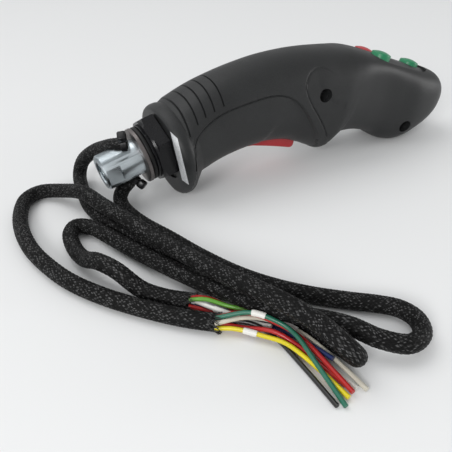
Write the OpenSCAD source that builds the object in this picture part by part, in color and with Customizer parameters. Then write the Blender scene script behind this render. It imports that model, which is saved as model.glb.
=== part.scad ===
// Multi-function joystick handle: a two-shell pistol grip with a dead-man bar, three push
// buttons and a steel adapter, lying on its finger side with its two braided looms beside it.
// +X runs along the handle from the adapter to the head, +Z is up and the table is at z = 0.

/* [Grip] */
// Wall of the two moulded half shells
shell_wall = 2.4; // [2:0.1:3]
// Half width of the grip between the fingers and the palm
grip_half_w = 17.2; // [15.5:0.1:19]
// Half width of the head at its widest
head_half_w = 19.6; // [18.5:0.1:21.5]

/* [Flange] */
// Thickness of the oval hand rest at the foot of the grip
lip_t = 7; // [6:0.1:9]
// Half width of the hand rest
lip_half_w = 23; // [21:0.5:26]
// Reach of the hand rest from the adapter axis towards the fingers
lip_reach = 25.5; // [24:0.5:28]
// Floor of the shells, through which the collar passes
floor_t = 5; // [4:0.5:6]

/* [Adapter] */
// Diameter of the steel bar
bar_d = 16; // [15:0.5:17]
// Length of the bar that stands out of the washer
bar_out = 17.5; // [16:0.5:21]
// Bore of the bar for the wires
wire_bore_d = 8.5; // [7:0.5:9]
// Tapping diameter of the mounting thread
mount_hole_d = 8.5; // [7:0.5:10]
// Angle between the adapter axis and the table
tilt = 13.5; // [12:0.5:15]

/* [Fastening] */
// Outside diameter of the threaded collar
collar_d = 22; // [20:0.5:24]
// Size across the flats of the hexagon nut
nut_af = 27; // [25:0.5:30]
// Thickness of the hexagon nut
nut_t = 7; // [6:0.5:8]
// Diameter of the shell screws
screw_d = 3.5; // [3:0.5:4]

/* [Buttons] */
// Diameter of a button cap
cap_d = 10; // [9:0.5:10.5]
// Travel of a button
cap_travel = 1.6; // [1:0.1:2]
// Sideways distance of the rear buttons from the middle
cap_pitch = 6.2; // [5.8:0.1:7]
// Clearance between a button and its guide
guide_gap = 0.1; // [0.05:0.05:0.2]

/* [Dead-man bar] */
// Width of the red bar
trigger_w = 9; // [7:0.5:11]
// Diameter of its hinge pin
hinge_d = 3; // [2.5:0.5:4]
// Swing of the bar when it is squeezed, in degrees
trigger_swing = 5; // [3:0.5:6]

/* [Cords] */
// Diameter of a braided sleeve
sleeve_d = 6.5; // [6:0.1:7]
// Diameter of a wire
wire_d = 1.6; // [1.4:0.1:1.8]

/* [Hidden] */
$fn = 48;

side_near = -1;
side_far = 1;
around = 8;             // points from the widest line to a seam
between = 2;            // rings from one station to the next

// --- Adapter axis: u runs into the grip from the outside of the flange, v across it, upwards
foot = [-10.5, 27];     // where the axis meets the flange's outer face, in x and z
cs = cos(tilt);
sn = sin(tilt);
function on_axis(u, v) = [foot[0] + u * cs - v * sn, foot[1] + u * sn + v * cs];
function off_axis(p) = (p[1] - foot[1]) * cs - (p[0] - foot[0]) * sn;

// --- Stations of the grip: palm point, finger point, half width, palm and finger roundness,
// and how deep the side is scooped
lip_r = lip_t / 2;
lip_palm = 17;
lip_round = 2.8;
lip_lean = [0.9, -1.5];     // how far its palm and finger ends lean along the axis
lip_turns = [0, 36, 72, 108, 144];
flange_stations = [for (a = lip_turns) let (u = lip_r * (1 - cos(a)), in = lip_round * (1 - sin(a)))
    [on_axis(u + lip_lean[0], lip_palm - 0.5 * in), on_axis(u + lip_lean[1], in - lip_reach),
        lip_half_w - in, 2.1, 1.85, 0]];
grip_stations = [
    [[-4.6, 46.6], [2.8, 12.8], grip_half_w + 2.6, 2.2, 2.3, 0],
    [[4.6, 51], [13, 16], grip_half_w + 1, 2.2, 2.4, 0],
    [[14.6, 54.2], [22, 18], grip_half_w + 0.3, 2.2, 2.5, 0],
    [[26, 56.9], [30.6, 18.9], grip_half_w, 2.2, 2.5, 0],
    [[40, 59.1], [40.6, 19], grip_half_w, 2.2, 2.5, 0],
    [[54, 59.9], [51, 17.4], grip_half_w + 0.4, 2.2, 2.5, 0],
    [[66, 59.5], [60, 13.9], grip_half_w + 1, 2.3, 2.5, 0],
    [[76, 58.6], [67.6, 10], head_half_w - 0.6, 2.4, 2.2, 0],
    [[83, 57.7], [72.8, 7.4], head_half_w - 0.2, 2.6, 2, 0],
    [[89, 56.8], [76.4, 9.8], head_half_w - 0.2, 2.8, 2, 0.03],
    [[95, 55.2], [80.2, 14], head_half_w - 0.2, 3, 2.2, 0.08],
    [[101.5, 53.1], [90.5, 14.8], head_half_w - 0.4, 3.1, 2.6, 0.14],
    [[110, 50], [103.4, 11.2], head_half_w - 0.6, 3.2, 2.7, 0.18],
    [[121, 46], [112.6, 5.4], head_half_w - 0.6, 3.2, 2.8, 0.12],
    [[133, 41.8], [121.6, 3.3], head_half_w - 0.6, 3.2, 2.7, 0.02],
    [[145, 37.8], [133.2, 5.6], head_half_w - 2.2, 3, 2.4, 0],
    [[151.2, 33.8], [142.6, 9.4], head_half_w - 5, 2.6, 2.3, 0],
    [[154.6, 28.4], [149.4, 14.6], head_half_w - 9.6, 2.3, 2.2, 0],
    [[156, 24], [153.8, 18.8], head_half_w - 15.6, 2, 2, 0]
];

function catmull(a, b, c, d, t) =
    0.5 * (2 * b + (c - a) * t + (2 * a - 5 * b + 4 * c - d) * t * t + (3 * b - a - 3 * c + d) * t * t * t);
function mix_station(s, k, t) = let (n = len(s) - 1)
    [for (i = [0:5]) catmull(s[max(k - 1, 0)][i], s[k][i], s[min(k + 1, n)][i], s[min(k + 2, n)][i], t)];
function refined(s) = concat(
    [for (k = [0:len(s) - 2], m = [0:between - 1]) mix_station(s, k, m / between)], [s[len(s) - 1]]);
// The lip keeps its own turns, so that its flat bottom face stays flat
grip_rings = refined(grip_stations);
outer_rings = concat(flange_stations, grip_rings);
lip_last = len(flange_stations);

function toward(p, q, d) = p + (q - p) * d / norm(q - p);
function shrunk(s, d) = let (c = (s[0] + s[1]) / 2)
    [toward(s[0], c, d), toward(s[1], c, d), s[2] - d, s[3], s[4], s[5]];
first_room = shrunk(outer_rings[lip_last], shell_wall);
floor_gap = 1.2;
end_rings = 7;          // rings over which the wall turns to face along the grip
inner_rings = [for (k = [0:len(outer_rings) - 1])
    k < lip_last
        ? let (s = first_room, u = floor_t + floor_gap * k / 2)
            [on_axis(u, off_axis(s[0]) - 0.6), on_axis(u, off_axis(s[1]) + 0.3), s[2] - 0.5, s[3], s[4], 0]
        : let (s = shrunk(outer_rings[k], shell_wall * (k == len(outer_rings) - 1 ? 0.7 : 1)),
                back = [shell_wall * max(0, (k + end_rings + 1 - len(outer_rings)) / end_rings), 0])
            [s[0] - back, s[1] - back, s[2], s[3], s[4], s[5]]];

function turn(j) = 90 - 90 * j / around;
function bump(a) = pow(max(0, cos(a * 1.15 + 8)), 2);
function ring_point(s, a, side) = let (
        c = (s[0] + s[1]) / 2,
        e = a >= 0 ? s[3] : s[4],
        end = a >= 0 ? s[0] : s[1],
        v = pow(abs(sin(a)), 2 / e),
        q = c + (end - c) * v,
        y = abs(a) == 90 ? 0 : s[2] * pow(cos(a), 2 / e) * (1 - s[5] * bump(a)))
    [q[0], side * y, q[1]];

// --- Where the whole handle stands: its middle at x = 0 and its lowest point on the table
outer_points = [for (s = outer_rings, j = [0:2 * around]) ring_point(s, turn(j), side_near)];
head_x = max([for (p = outer_points) p[0]]);
lowest = min([for (p = outer_points) p[2]]);

// --- Adapter stack, measured outwards from the flange's face
nut_ring_t = 1.2;
seal_t = 2.2;
washer_t = 2;
ring_d = 25;
stack = nut_t + nut_ring_t + seal_t + washer_t;
bar_end = stack + bar_out;
bar_in = 14;            // how far the bar runs into the grip
bar_chamfer = 0.8;
end_x = on_axis(-bar_end, bar_d / 2 - bar_chamfer)[0];
shift = [-(head_x + end_x) / 2, 0, -lowest];
collar_gap = 0.15;
collar_head_d = collar_d + 3.4;
collar_head_t = 3;
collar_bore = bar_d + 0.1;
pin_d = 3;

// --- Head: w runs outwards along the buttons' axis, from the middle of the plate's crown
face_at = [120.5, 45.8];
face_slope = 20.6;
plate_l = 48.5;
plate_w = 25;
plate_t = 4.2;
plate_gap = 0.2;
crown_r = 28;
crown_top = 0.2;
cap_x_rear = -13;
cap_x_front = 15.5;
cap_dome = 1.2;
skirt_t = 1;
switch_wall = 0.7;
switch_floor = -10;
switch_end = -17;
stem_d = 3;
skirt_d = cap_d + 0.6;
switch_d = skirt_d + 2 * guide_gap + 2 * switch_wall;

// --- Relief of the sides, in x and z: the finger panel, the pad at the upper screw, the palm grooves
panel_line = [[-4.8, 21], [-4.7, 27.2], [-4.2, 31.2], [-2.2, 34.8], [1.3, 37.7], [6.3, 40.3], [12.5, 42.5],
    [20.1, 43.9], [27.8, 44.9], [34.5, 45.5], [40.7, 45.1], [45.9, 43.4], [50.3, 40.4], [53.9, 36.4],
    [57.9, 30.6], [62.4, 23.6], [66.5, 15]];
panel_depth = 0.8;
pad_line = [[70.6, 12], [67.7, 23.9], [62.8, 31.4], [58.1, 38.6], [55.6, 44.6], [55.9, 48.5], [58.7, 51.9],
    [62.6, 53.4], [65.8, 53.1], [69.6, 51.3], [76, 46], [96, 40]];
pad_depth = 0.45;
pad_end = 90;
seam_clear = 7;         // the recesses stop this far from the seam
grooves = [[-5.2, 36.4], [-0.7, 39.9], [3.6, 42.4], [8.1, 43.9], [12.8, 44.9]];
groove_w = 0.75;
groove_depth = 0.7;

// --- Shell screws: x, z, and how far their bosses reach into the side walls
screw_spots = [[66, 41.1, grip_half_w - 0.2], [122, 13.6, head_half_w - 2.6]];
head_seat = 8;
screw_head_d = screw_d + 2.5;
screw_head_t = 2.2;
screw_end = 10;
boss_d = 9.4;
insert_d = screw_d + 1.5;

// --- Dead-man bar, in x and z
hinge = [31.5, 22.4];
hinge_gap = 0.05;
lug_t = 3.4;
lug_d = 8;
slot_gap = 0.6;
slot_ends = [26, 62];
bar_nose = [57.2, 13.6];
bar_nose_r = 2.2;
spring_x = 42;
spring_floor = 18.3;
spring_h = 8.4;
seat_d = 4;
// Plunger of the dead-man switch: place along it, and length that it would have against a bar that cannot move
plunger_x = 4;
plunger_rest = 4.51;
switch_at = [46, 24.5];
switch_size = [13, 6.4, 9];
switch_holes = [[3, 5.5], [10, 5.5]];
peg_d = 2.1;

module placed() {
    translate(shift) children();
}

// u along the adapter axis into the grip becomes the child's Z
module along_adapter(u = 0) {
    translate([foot[0], 0, foot[1]]) rotate([0, 90 - tilt, 0]) translate([0, 0, u]) children();
}

module at_face(x = 0, y = 0) {
    translate([face_at[0], 0, face_at[1]]) rotate([0, face_slope, 0]) translate([x, y, 0]) children();
}

// A cylinder across the grip from y0 to y1 at x and z of p
module across(p, y0, y1, d) {
    translate([p[0], y1, p[1]]) rotate([90, 0, 0]) cylinder(d = d, h = y1 - y0);
}

// --- Half shell: an outer and an inner skin that share the seam in y = 0
module half_skin(side) {
    n = 2 * around + 1;
    rings = len(outer_rings);
    outer = [for (s = outer_rings, j = [0:n - 1]) ring_point(s, turn(j), side)];
    inner = [for (s = inner_rings, j = [0:n - 1]) ring_point(s, turn(j), side)];
    o = function(k, j) k * n + j;
    i = function(k, j) rings * n + k * n + j;
    last = rings - 1;
    quads = concat(
        [for (k = [0:last - 1], j = [0:n - 2]) [o(k, j), o(k + 1, j), o(k + 1, j + 1), o(k, j + 1)]],
        [for (k = [0:last - 1], j = [0:n - 2]) [i(k, j), i(k, j + 1), i(k + 1, j + 1), i(k + 1, j)]],
        [for (k = [0:last - 1]) [o(k, 0), i(k, 0), i(k + 1, 0), o(k + 1, 0)]],
        [for (k = [0:last - 1]) [o(k, n - 1), o(k + 1, n - 1), i(k + 1, n - 1), i(k, n - 1)]],
        [[o(0, 0), o(0, n - 1), i(0, n - 1), i(0, 0)]],
        [[o(last, 0), i(last, 0), i(last, n - 1), o(last, n - 1)]],
        [[for (j = [0:n - 1]) o(0, j)]],
        [[for (j = [n - 1:-1:0]) i(0, j)]],
        [[for (j = [n - 1:-1:0]) o(last, j)]],
        [[for (j = [0:n - 1]) i(last, j)]]);
    faces = [for (q = quads, m = [1:len(q) - 2]) side < 0 ? [q[0], q[m], q[m + 1]] : [q[0], q[m + 1], q[m]]];
    polyhedron(concat(outer, inner), faces);
}

// The grip's outer form, drawn in by d all round or by dy at its sides, which fades out before x = end
module drawn_in(d, dy, end = 1000, fade = 12) {
    n = 4 * around;
    rings = len(outer_rings);
    points = [for (s = outer_rings, j = [0:n - 1]) let (
            w = dy - (dy + 0.1) * min(1, max(0, (s[0][0] - end) / fade + 1)),
            r = shrunk([s[0], s[1], s[2] - (end < 1000 ? w : dy), s[3], s[4], s[5]], d),
            a = 90 - 90 * j / around)
        a >= -90 ? ring_point(r, a, side_far) : ring_point(r, -180 - a, side_near)];
    walls = [for (k = [0:rings - 2], j = [0:n - 1]) let (m = (j + 1) % n)
        [k * n + j, k * n + m, (k + 1) * n + m, (k + 1) * n + j]];
    polyhedron(points, concat([for (q = walls, m = [1:2]) [q[0], q[m], q[m + 1]]],
        [[for (j = [n - 1:-1:0]) j]], [[for (j = [0:n - 1]) (rings - 1) * n + j]]));
}

// Shallow recesses in the sides, from the line given in x and z
module side_recess(outline, dy, end, side) {
    difference() {
        translate([0, side < 0 ? -seam_clear : 40, 0]) rotate([90, 0, 0]) linear_extrude(40 - seam_clear)
            polygon(outline);
        drawn_in(0, dy, end);
    }
}

module palm_grooves() {
    difference() {
        for (g = grooves) translate([g[0] - groove_w / 2, -40, g[1]]) cube([groove_w, 80, 40]);
        drawn_in(groove_depth, 0);
    }
}

module plate_outline(gap) {
    hull() for (s = [-1, 1]) translate([s * (plate_l - plate_w) / 2, 0]) circle(d = plate_w - 2 * gap);
}

module half_shell(side) {
    difference() {
        union() {
            half_skin(side);
            for (p = screw_spots)
                across(p, side < 0 ? -p[2] : 0.2, side < 0 ? 0 : p[2], boss_d);
            lug_y = trigger_w / 2 + slot_gap;
            across(hinge, side < 0 ? -lug_y - lug_t : lug_y, side < 0 ? -lug_y : lug_y + lug_t, lug_d);
            across([spring_x, spring_floor + spring_h + 0.1 + seat_d / 2],
                side < 0 ? 0.4 - grip_half_w : 0.05, side < 0 ? -0.05 : grip_half_w - 0.4, seat_d);
            if (side < 0) for (h = switch_holes)
                across(switch_at + h, 0.4 - grip_half_w, switch_size[1] / 2, peg_d);
        }
        along_adapter(-1) cylinder(d = collar_d + 2 * collar_gap, h = floor_t + 4);
        along_adapter(-4) cylinder(d = nut_af / cos(30) + 1, h = 4);
        side_recess(concat(panel_line, [[20, 4], [4, 12]]), panel_depth, 1000, side);
        side_recess(concat(pad_line, [[96, 10]]), pad_depth, pad_end, side);
        palm_grooves();
        at_face() translate([0, 0, -12]) linear_extrude(16) plate_outline(0);
        for (c = cap_spots()) at_face(c[0], c[1]) translate([0, 0, switch_end - 1])
            cylinder(d = switch_d + 0.4, h = -switch_end - plate_t + 1);
        translate([slot_ends[0], -trigger_w / 2 - slot_gap, 0])
            cube([slot_ends[1] - slot_ends[0], trigger_w + 2 * slot_gap, 24]);
        for (p = screw_spots) {
            across(p, -13, 13, screw_d + 0.4);
            across(p, -30, -head_seat, screw_head_d + 0.5);
            across(p, 0, screw_end + 1, insert_d);
        }
        across(hinge, -trigger_w / 2 - lug_t - 1, trigger_w / 2 + lug_t + 1, hinge_d + 0.04);
    }
}

module shell_near() {
    color([0.22, 0.23, 0.23]) half_shell(side_near);
}

module shell_far() {
    color([0.22, 0.23, 0.23]) half_shell(side_far);
}

module shell_screws() {
    color([0.62, 0.63, 0.64]) for (p = screw_spots) difference() {
        union() {
            across(p, -head_seat, screw_end - 1, screw_d);
            across(p, -head_seat - screw_head_t, -head_seat, screw_head_d);
        }
        translate([p[0], -head_seat - 1, p[1]]) rotate([90, 0, 0]) cylinder(d = 2.9, h = 3, $fn = 6);
    }
}

module screw_inserts() {
    color([0.78, 0.62, 0.32]) for (p = screw_spots) difference() {
        across(p, 0.5, screw_end, insert_d - 0.02);
        across(p, 0, screw_end + 1, screw_d + 0.02);
    }
}

// --- Buttons
module button_plate() {
    color([0.1, 0.1, 0.11]) at_face() difference() {
        intersection() {
            translate([0, 0, -plate_t]) linear_extrude(plate_t + 2) plate_outline(plate_gap);
            translate([-plate_l, 0, crown_top - crown_r]) rotate([0, 90, 0])
                cylinder(r = crown_r, h = 2 * plate_l, $fn = 96);
        }
        for (c = cap_spots()) translate([c[0], c[1], -8]) cylinder(d = cap_d + 2 * guide_gap, h = 12);
    }
}

// Places of the buttons on the plate, and how far each cap stands out
function cap_spots() = [[cap_x_rear, -cap_pitch, 1.2], [cap_x_rear, cap_pitch, 0.2], [cap_x_front, 0, 1.6]];

module button(spot) {
    at_face(spot[0], spot[1]) {
        intersection() {
            translate([0, 0, -plate_t - skirt_t])
                cylinder(d = cap_d, h = plate_t + skirt_t + spot[2] + cap_dome);
            translate([0, 0, spot[2] + cap_dome - 12]) sphere(r = 12, $fn = 64);
        }
        translate([0, 0, -plate_t - 0.1 - skirt_t]) cylinder(d = skirt_d, h = skirt_t);
        translate([0, 0, switch_floor - stem_in]) cylinder(d = stem_d, h = -switch_floor - plate_t + stem_in);
    }
}

// Length of a stem inside its switch at rest; the hole below it is deeper by the travel
stem_in = 2;
module switch_body(spot) {
    at_face(spot[0], spot[1]) difference() {
        translate([0, 0, switch_end]) cylinder(d = switch_d, h = -plate_t - switch_end);
        translate([0, 0, switch_floor]) cylinder(d = switch_d - 2 * switch_wall, h = 20);
        translate([0, 0, switch_floor - stem_in - cap_travel - 1.4]) cylinder(d = stem_d + 2 * guide_gap, h = 20);
    }
}

// A coil spring as one swept tube
module coil(r, h, turns, d, steps = 10, sides = 5) {
    rings = turns * steps;
    rise = (h - d) / rings;
    pts = [for (k = [0:rings], j = [0:sides - 1]) let (a = 360 * k / steps, b = 360 * j / sides)
        [(r + d / 2 * cos(b)) * cos(a), (r + d / 2 * cos(b)) * sin(a), d / 2 + rise * k + d / 2 * sin(b)]];
    walls = [for (k = [0:rings - 1], j = [0:sides - 1]) let (n = (j + 1) % sides)
        [k * sides + j, k * sides + n, (k + 1) * sides + n, (k + 1) * sides + j]];
    polyhedron(pts, concat([for (q = walls, m = [1:2]) [q[0], q[m], q[m + 1]]],
        [[for (j = [sides - 1:-1:0]) j]], [[for (j = [0:sides - 1]) rings * sides + j]]));
}

module button_spring(spot) {
    color([0.7, 0.71, 0.72]) at_face(spot[0], spot[1]) translate([0, 0, switch_floor + 0.05])
        coil(3.4, -switch_floor - plate_t - skirt_t - 0.2, 3, 0.7);
}

module button_near() {
    color([0.1, 0.5, 0.3]) button(cap_spots()[0]);
}

module button_far() {
    color([0.75, 0.2, 0.2]) button(cap_spots()[1]);
}

module button_front() {
    color([0.1, 0.5, 0.3]) button(cap_spots()[2]);
}

module switch_near() {
    color([0.12, 0.12, 0.13]) switch_body(cap_spots()[0]);
}

module switch_far() {
    color([0.12, 0.12, 0.13]) switch_body(cap_spots()[1]);
}

module switch_front() {
    color([0.12, 0.12, 0.13]) switch_body(cap_spots()[2]);
}

module spring_near() {
    button_spring(cap_spots()[0]);
}

module spring_far() {
    button_spring(cap_spots()[1]);
}

module spring_front() {
    button_spring(cap_spots()[2]);
}

// --- Dead-man bar
module deadman_bar() {
    color([0.74, 0.18, 0.2]) difference() {
        translate([0, trigger_w / 2, 0]) rotate([90, 0, 0]) linear_extrude(trigger_w) union() {
            polygon([[28.2, 18], [35, 17.4], [43, 15.4], [51, 13.2], [56.6, 11.5], [59.4, 13.6], [59.4, 15.4],
                [57.5, 18.6], [49, 19.8], [38, 21.4], [35, 25.6], [28.6, 25.4], [27.4, 21]]);
            translate(bar_nose) circle(r = bar_nose_r);
        }
        across(hinge, -trigger_w, trigger_w, hinge_d + 2 * hinge_gap);
        translate([spring_x, 0, spring_floor]) cylinder(d = 6, h = 10);
    }
}

module deadman_pin() {
    y = trigger_w / 2 + slot_gap + lug_t - 0.4;
    color([0.7, 0.71, 0.72]) across(hinge, -y, y, hinge_d);
}

module deadman_switch() {
    plunger_out = plunger_rest - (switch_at[0] + plunger_x - hinge[0]) * sin(trigger_swing);
    color([0.13, 0.13, 0.14]) difference() {
        translate([switch_at[0], -switch_size[1] / 2, switch_at[1]]) union() {
            cube(switch_size);
            translate([plunger_x, switch_size[1] / 2, -plunger_out]) cylinder(d = 2.4, h = plunger_out + 1.1);
        }
        for (h = switch_holes) across(switch_at + h, -switch_size[1], switch_size[1], peg_d + 0.02);
    }
}

module deadman_spring() {
    color([0.7, 0.71, 0.72]) translate([spring_x, 0, spring_floor + 0.05]) coil(2.2, spring_h, 4, 0.6);
}

// --- Sweeps: a tube along hand-chosen points, capped at both ends
function unit(v) = v / norm(v);
function heading(p, k) = unit(p[min(k + 1, len(p) - 1)] - p[max(k - 1, 0)]);
module tube(path, d, sides) {
    rings = [for (k = [0:len(path) - 1]) let (
            t = heading(path, k),
            across_t = unit(cross(t, abs(t[2]) > 0.9 ? [1, 0, 0] : [0, 0, 1])),
            up_t = cross(across_t, t))
        [for (j = [0:sides - 1]) let (a = 360 * (j + 0.5) / sides)
            path[k] + d / 2 * (across_t * cos(a) + up_t * sin(a))]];
    last = len(path) - 1;
    walls = [for (k = [0:last - 1], j = [0:sides - 1]) let (n = (j + 1) % sides)
        [k * sides + j, k * sides + n, (k + 1) * sides + n, (k + 1) * sides + j]];
    polyhedron([for (r = rings, p = r) p], concat([for (q = walls, m = [1:2]) [q[0], q[m], q[m + 1]]],
        [[for (j = [sides - 1:-1:0]) j]], [[for (j = [0:sides - 1]) last * sides + j]]));
}

loom_d = 5;
module inner_loom() {
    color([0.16, 0.16, 0.17]) tube(concat([for (u = [-9, 3, 15]) let (p = on_axis(u, 0)) [p[0], 0, p[1]]],
        [[16, 0, 36], [30, 0, 43], [46, 0, 49], [62, 0, 51.4], [76, 0, 50], [88, 0, 45]]), loom_d, 8);
}

// --- Adapter group
scoop_r = 7.5;
scoop_depth = 5.8;
scoop_from_washer = 6.3;
flat_len = 5;
flat_af = bar_d - 1.8;
mount_hole_l = 6;
module adapter() {
    color([0.74, 0.76, 0.78]) along_adapter(-bar_end) difference() {
        union() {
            cylinder(d1 = bar_d - 2 * bar_chamfer, d2 = bar_d, h = bar_chamfer);
            translate([0, 0, bar_chamfer]) cylinder(d = bar_d, h = bar_end + bar_in - bar_chamfer);
        }
        translate([0, 0, bar_out - scoop_from_washer]) cylinder(d = wire_bore_d, h = 200);
        translate([0, 0, -1]) cylinder(d = mount_hole_d, h = mount_hole_l + 1);
        for (s = [-1, 1]) {
            translate([s * (bar_d / 2 - scoop_depth + scoop_r), 0, bar_out - scoop_from_washer])
                rotate([90, 0, 0]) cylinder(r = scoop_r, h = 40, center = true);
            translate([-20, s * (flat_af / 2 + 10) - 10, 2.4]) cube([40, 20, flat_len]);
        }
        translate([0, -20, bar_end + floor_t + collar_head_t / 2]) rotate([-90, 0, 0])
            cylinder(d = pin_d + 0.02, h = 40);
    }
}

module collar() {
    color([0.07, 0.07, 0.08]) difference() {
        union() {
            along_adapter(-stack + washer_t + seal_t)
                cylinder(d = collar_d, h = stack - washer_t - seal_t + floor_t);
            along_adapter(floor_t) cylinder(d = collar_head_d, h = collar_head_t);
        }
        along_adapter(-stack) cylinder(d = collar_bore, h = stack + 40);
        along_adapter(floor_t + collar_head_t / 2) translate([0, -20, 0]) rotate([-90, 0, 0])
            cylinder(d = pin_d + 0.02, h = 40);
    }
}

module lock_pin() {
    color([0.7, 0.71, 0.72]) along_adapter(floor_t + collar_head_t / 2) translate([0, -collar_d / 2, 0])
        rotate([-90, 0, 0]) cylinder(d = pin_d, h = collar_d / 2 - wire_bore_d / 2);
}

module hex_nut() {
    color([0.05, 0.05, 0.06]) along_adapter(-nut_t - nut_ring_t) difference() {
        union() {
            translate([0, 0, nut_ring_t]) intersection() {
                cylinder(d = nut_af / cos(30), h = nut_t, $fn = 6);
                cylinder(d1 = nut_af, d2 = nut_af + 4 * nut_t, h = 2 * nut_t);
            }
            cylinder(d = nut_af - 2, h = nut_ring_t);
        }
        translate([0, 0, -1]) cylinder(d = collar_d + 0.02, h = 40);
    }
}

module seal_ring() {
    color([0.05, 0.05, 0.05]) along_adapter(-stack + washer_t) difference() {
        rotate_extrude() polygon([[bar_d / 2, 0], [ring_d / 2 - 1, 0], [ring_d / 2 - 0.2, seal_t * 0.3],
            [ring_d / 2 - 0.2, seal_t * 0.7], [ring_d / 2 - 1, seal_t], [bar_d / 2, seal_t]]);
        translate([0, 0, -1]) cylinder(d = collar_bore, h = seal_t + 2);
    }
}

module washer() {
    color([0.62, 0.62, 0.61]) along_adapter(-stack) difference() {
        cylinder(d = ring_d, h = washer_t);
        translate([0, 0, -1]) cylinder(d = collar_bore, h = washer_t + 2);
    }
}

// --- Looms: routes on the table, in the placed frame
sleeve_a_route = [
    [-84.1, -0.8, 28.9], [-87.5, 0.6, 28.4], [-89.4, 4.9, 26.8], [-90.9, 11.1, 23.8],
    [-92.8, 16.6, 20.8], [-94.7, 21.9, 17], [-96.4, 26.6, 12.6], [-97.7, 28.8, 8.3],
    [-99.2, 27.5, 4.2], [-101.1, 19.7, 3.4], [-103.1, 8.1, 3.3], [-103.9, -3.5, 3.3],
    [-101.6, -17.1, 3.4], [-97.2, -31.5, 3.4], [-91.5, -48.1, 3.3], [-85.5, -63.8, 3.4],
    [-79.4, -79.5, 3.3], [-72.5, -95.4, 3.4], [-67.4, -109.3, 3.3], [-64.8, -121.4, 3.3],
    [-65.5, -130.7, 6.2], [-68.2, -134.4, 10.3], [-70.9, -130.8, 13.8], [-72.9, -120.3, 15.1],
    [-77.6, -106, 15.7], [-82.1, -92.1, 14.3], [-86.5, -75.8, 12.4], [-90.4, -60.4, 11.1],
    [-95, -43.2, 10.7], [-99.3, -26.1, 10.7], [-102.6, -13.2, 10.5], [-106, 0.7, 10.2],
    [-111.4, 15.7, 5.4], [-119.2, 22.6, 3.6], [-127, 18.8, 3.4], [-132.3, 7, 3.4], [-134.9, -6.8, 3.4],
    [-134.9, -21.5, 3.3], [-132.4, -35.3, 3.3], [-128, -49, 3.3], [-120.6, -62.8, 3.4],
    [-111.3, -75.6, 3.4], [-101.9, -86.4, 3.4], [-93.6, -94, 3.4]
];
sleeve_b_route = [
    [-82.1, 0, 13.2], [-84.6, 0.4, 10], [-88, 0.3, 6.8], [-91, -3.9, 4.7], [-91.6, -11.7, 3.4],
    [-89.6, -25.5, 3.4], [-84.7, -41.2, 3.4], [-79.8, -57.9, 3.3], [-73.4, -74.6, 3.3],
    [-66, -87.4, 3.3], [-57.2, -98.2, 3.3], [-47.9, -107.1, 3.3], [-40.1, -114, 3.4],
    [-35.5, -120.1, 3.7], [-35.1, -127.4, 4.2], [-39.7, -133.9, 5], [-47.5, -135.7, 6.1],
    [-55.2, -130.7, 7.9], [-62.7, -122, 10.5], [-74.7, -106.5, 9.3], [-81.6, -91, 7.1],
    [-88.3, -74.6, 5.1], [-94.9, -58.3, 4.5], [-100.5, -43.2, 4.1], [-105.2, -29, 3.8],
    [-108.9, -18.9, 3.8], [-114.3, -14.3, 3.8], [-118.6, -18.6, 3.4], [-120.1, -29.4, 3.3],
    [-119.6, -40.2, 5.2], [-117.7, -50.2, 9.7], [-113.8, -59, 9.7], [-108.3, -66.8, 4.7],
    [-102.4, -73.6, 3.3], [-96, -80, 3.4]
];
// Wires, listed with their colours
wires_a_routes = [
    [[0.8, 0.78, 0.1], [
        [-94.3, -95.5, 2.4], [-88.7, -100.1, 3], [-82.7, -106.9, 2.7], [-78.2, -114.4, 3],
        [-75.8, -126.1, 2.3], [-74.3, -140, 1.3]]],
    [[0.8, 0.79, 0.72], [
        [-94.4, -95.6, 4.4], [-84.9, -99.2, 5.6], [-76.7, -104.5, 4.4], [-71.3, -113.1, 3.3],
        [-68.7, -125.5, 2.1], [-67.4, -140.1, 0.9]]],
    [[0.12, 0.42, 0.32], [
        [-93.2, -94.3, 5.4], [-84.5, -100.6, 8.7], [-78.7, -107.7, 8.1], [-75.5, -115, 6.1],
        [-76.3, -127.7, 4.1], [-76.9, -142, 0.9]]],
    [[0.08, 0.08, 0.08], [
        [-92.1, -93.1, 2.4], [-83.3, -99.6, 2.9], [-78.8, -108.3, 1.3], [-78.3, -121.8, 0.9],
        [-79, -140.5, 0.9]]],
    [[0.66, 0.12, 0.12], [
        [-92.1, -93.1, 4.4], [-84.3, -99.1, 7.4], [-77.6, -107.5, 6.2], [-73.6, -116.2, 4.5],
        [-72.9, -128.4, 3.4], [-72.5, -139.6, 2.1]]],
    [[0.85, 0.84, 0.8], [
        [-93.2, -94.2, 1.4], [-84.6, -98.6, 0.9], [-78.3, -104.6, 0.9], [-74.5, -112.7, 0.9],
        [-71.4, -124.8, 0.9], [-69.8, -138.2, 0.9]]],
    [[0.66, 0.12, 0.12], [
        [-93.2, -94.3, 3.4], [-85.6, -100.1, 2.2], [-79.8, -108, 4.3], [-75.6, -115.5, 2.6],
        [-73.4, -126.9, 1.6], [-71.9, -135.6, 0.9]]]
];
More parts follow.
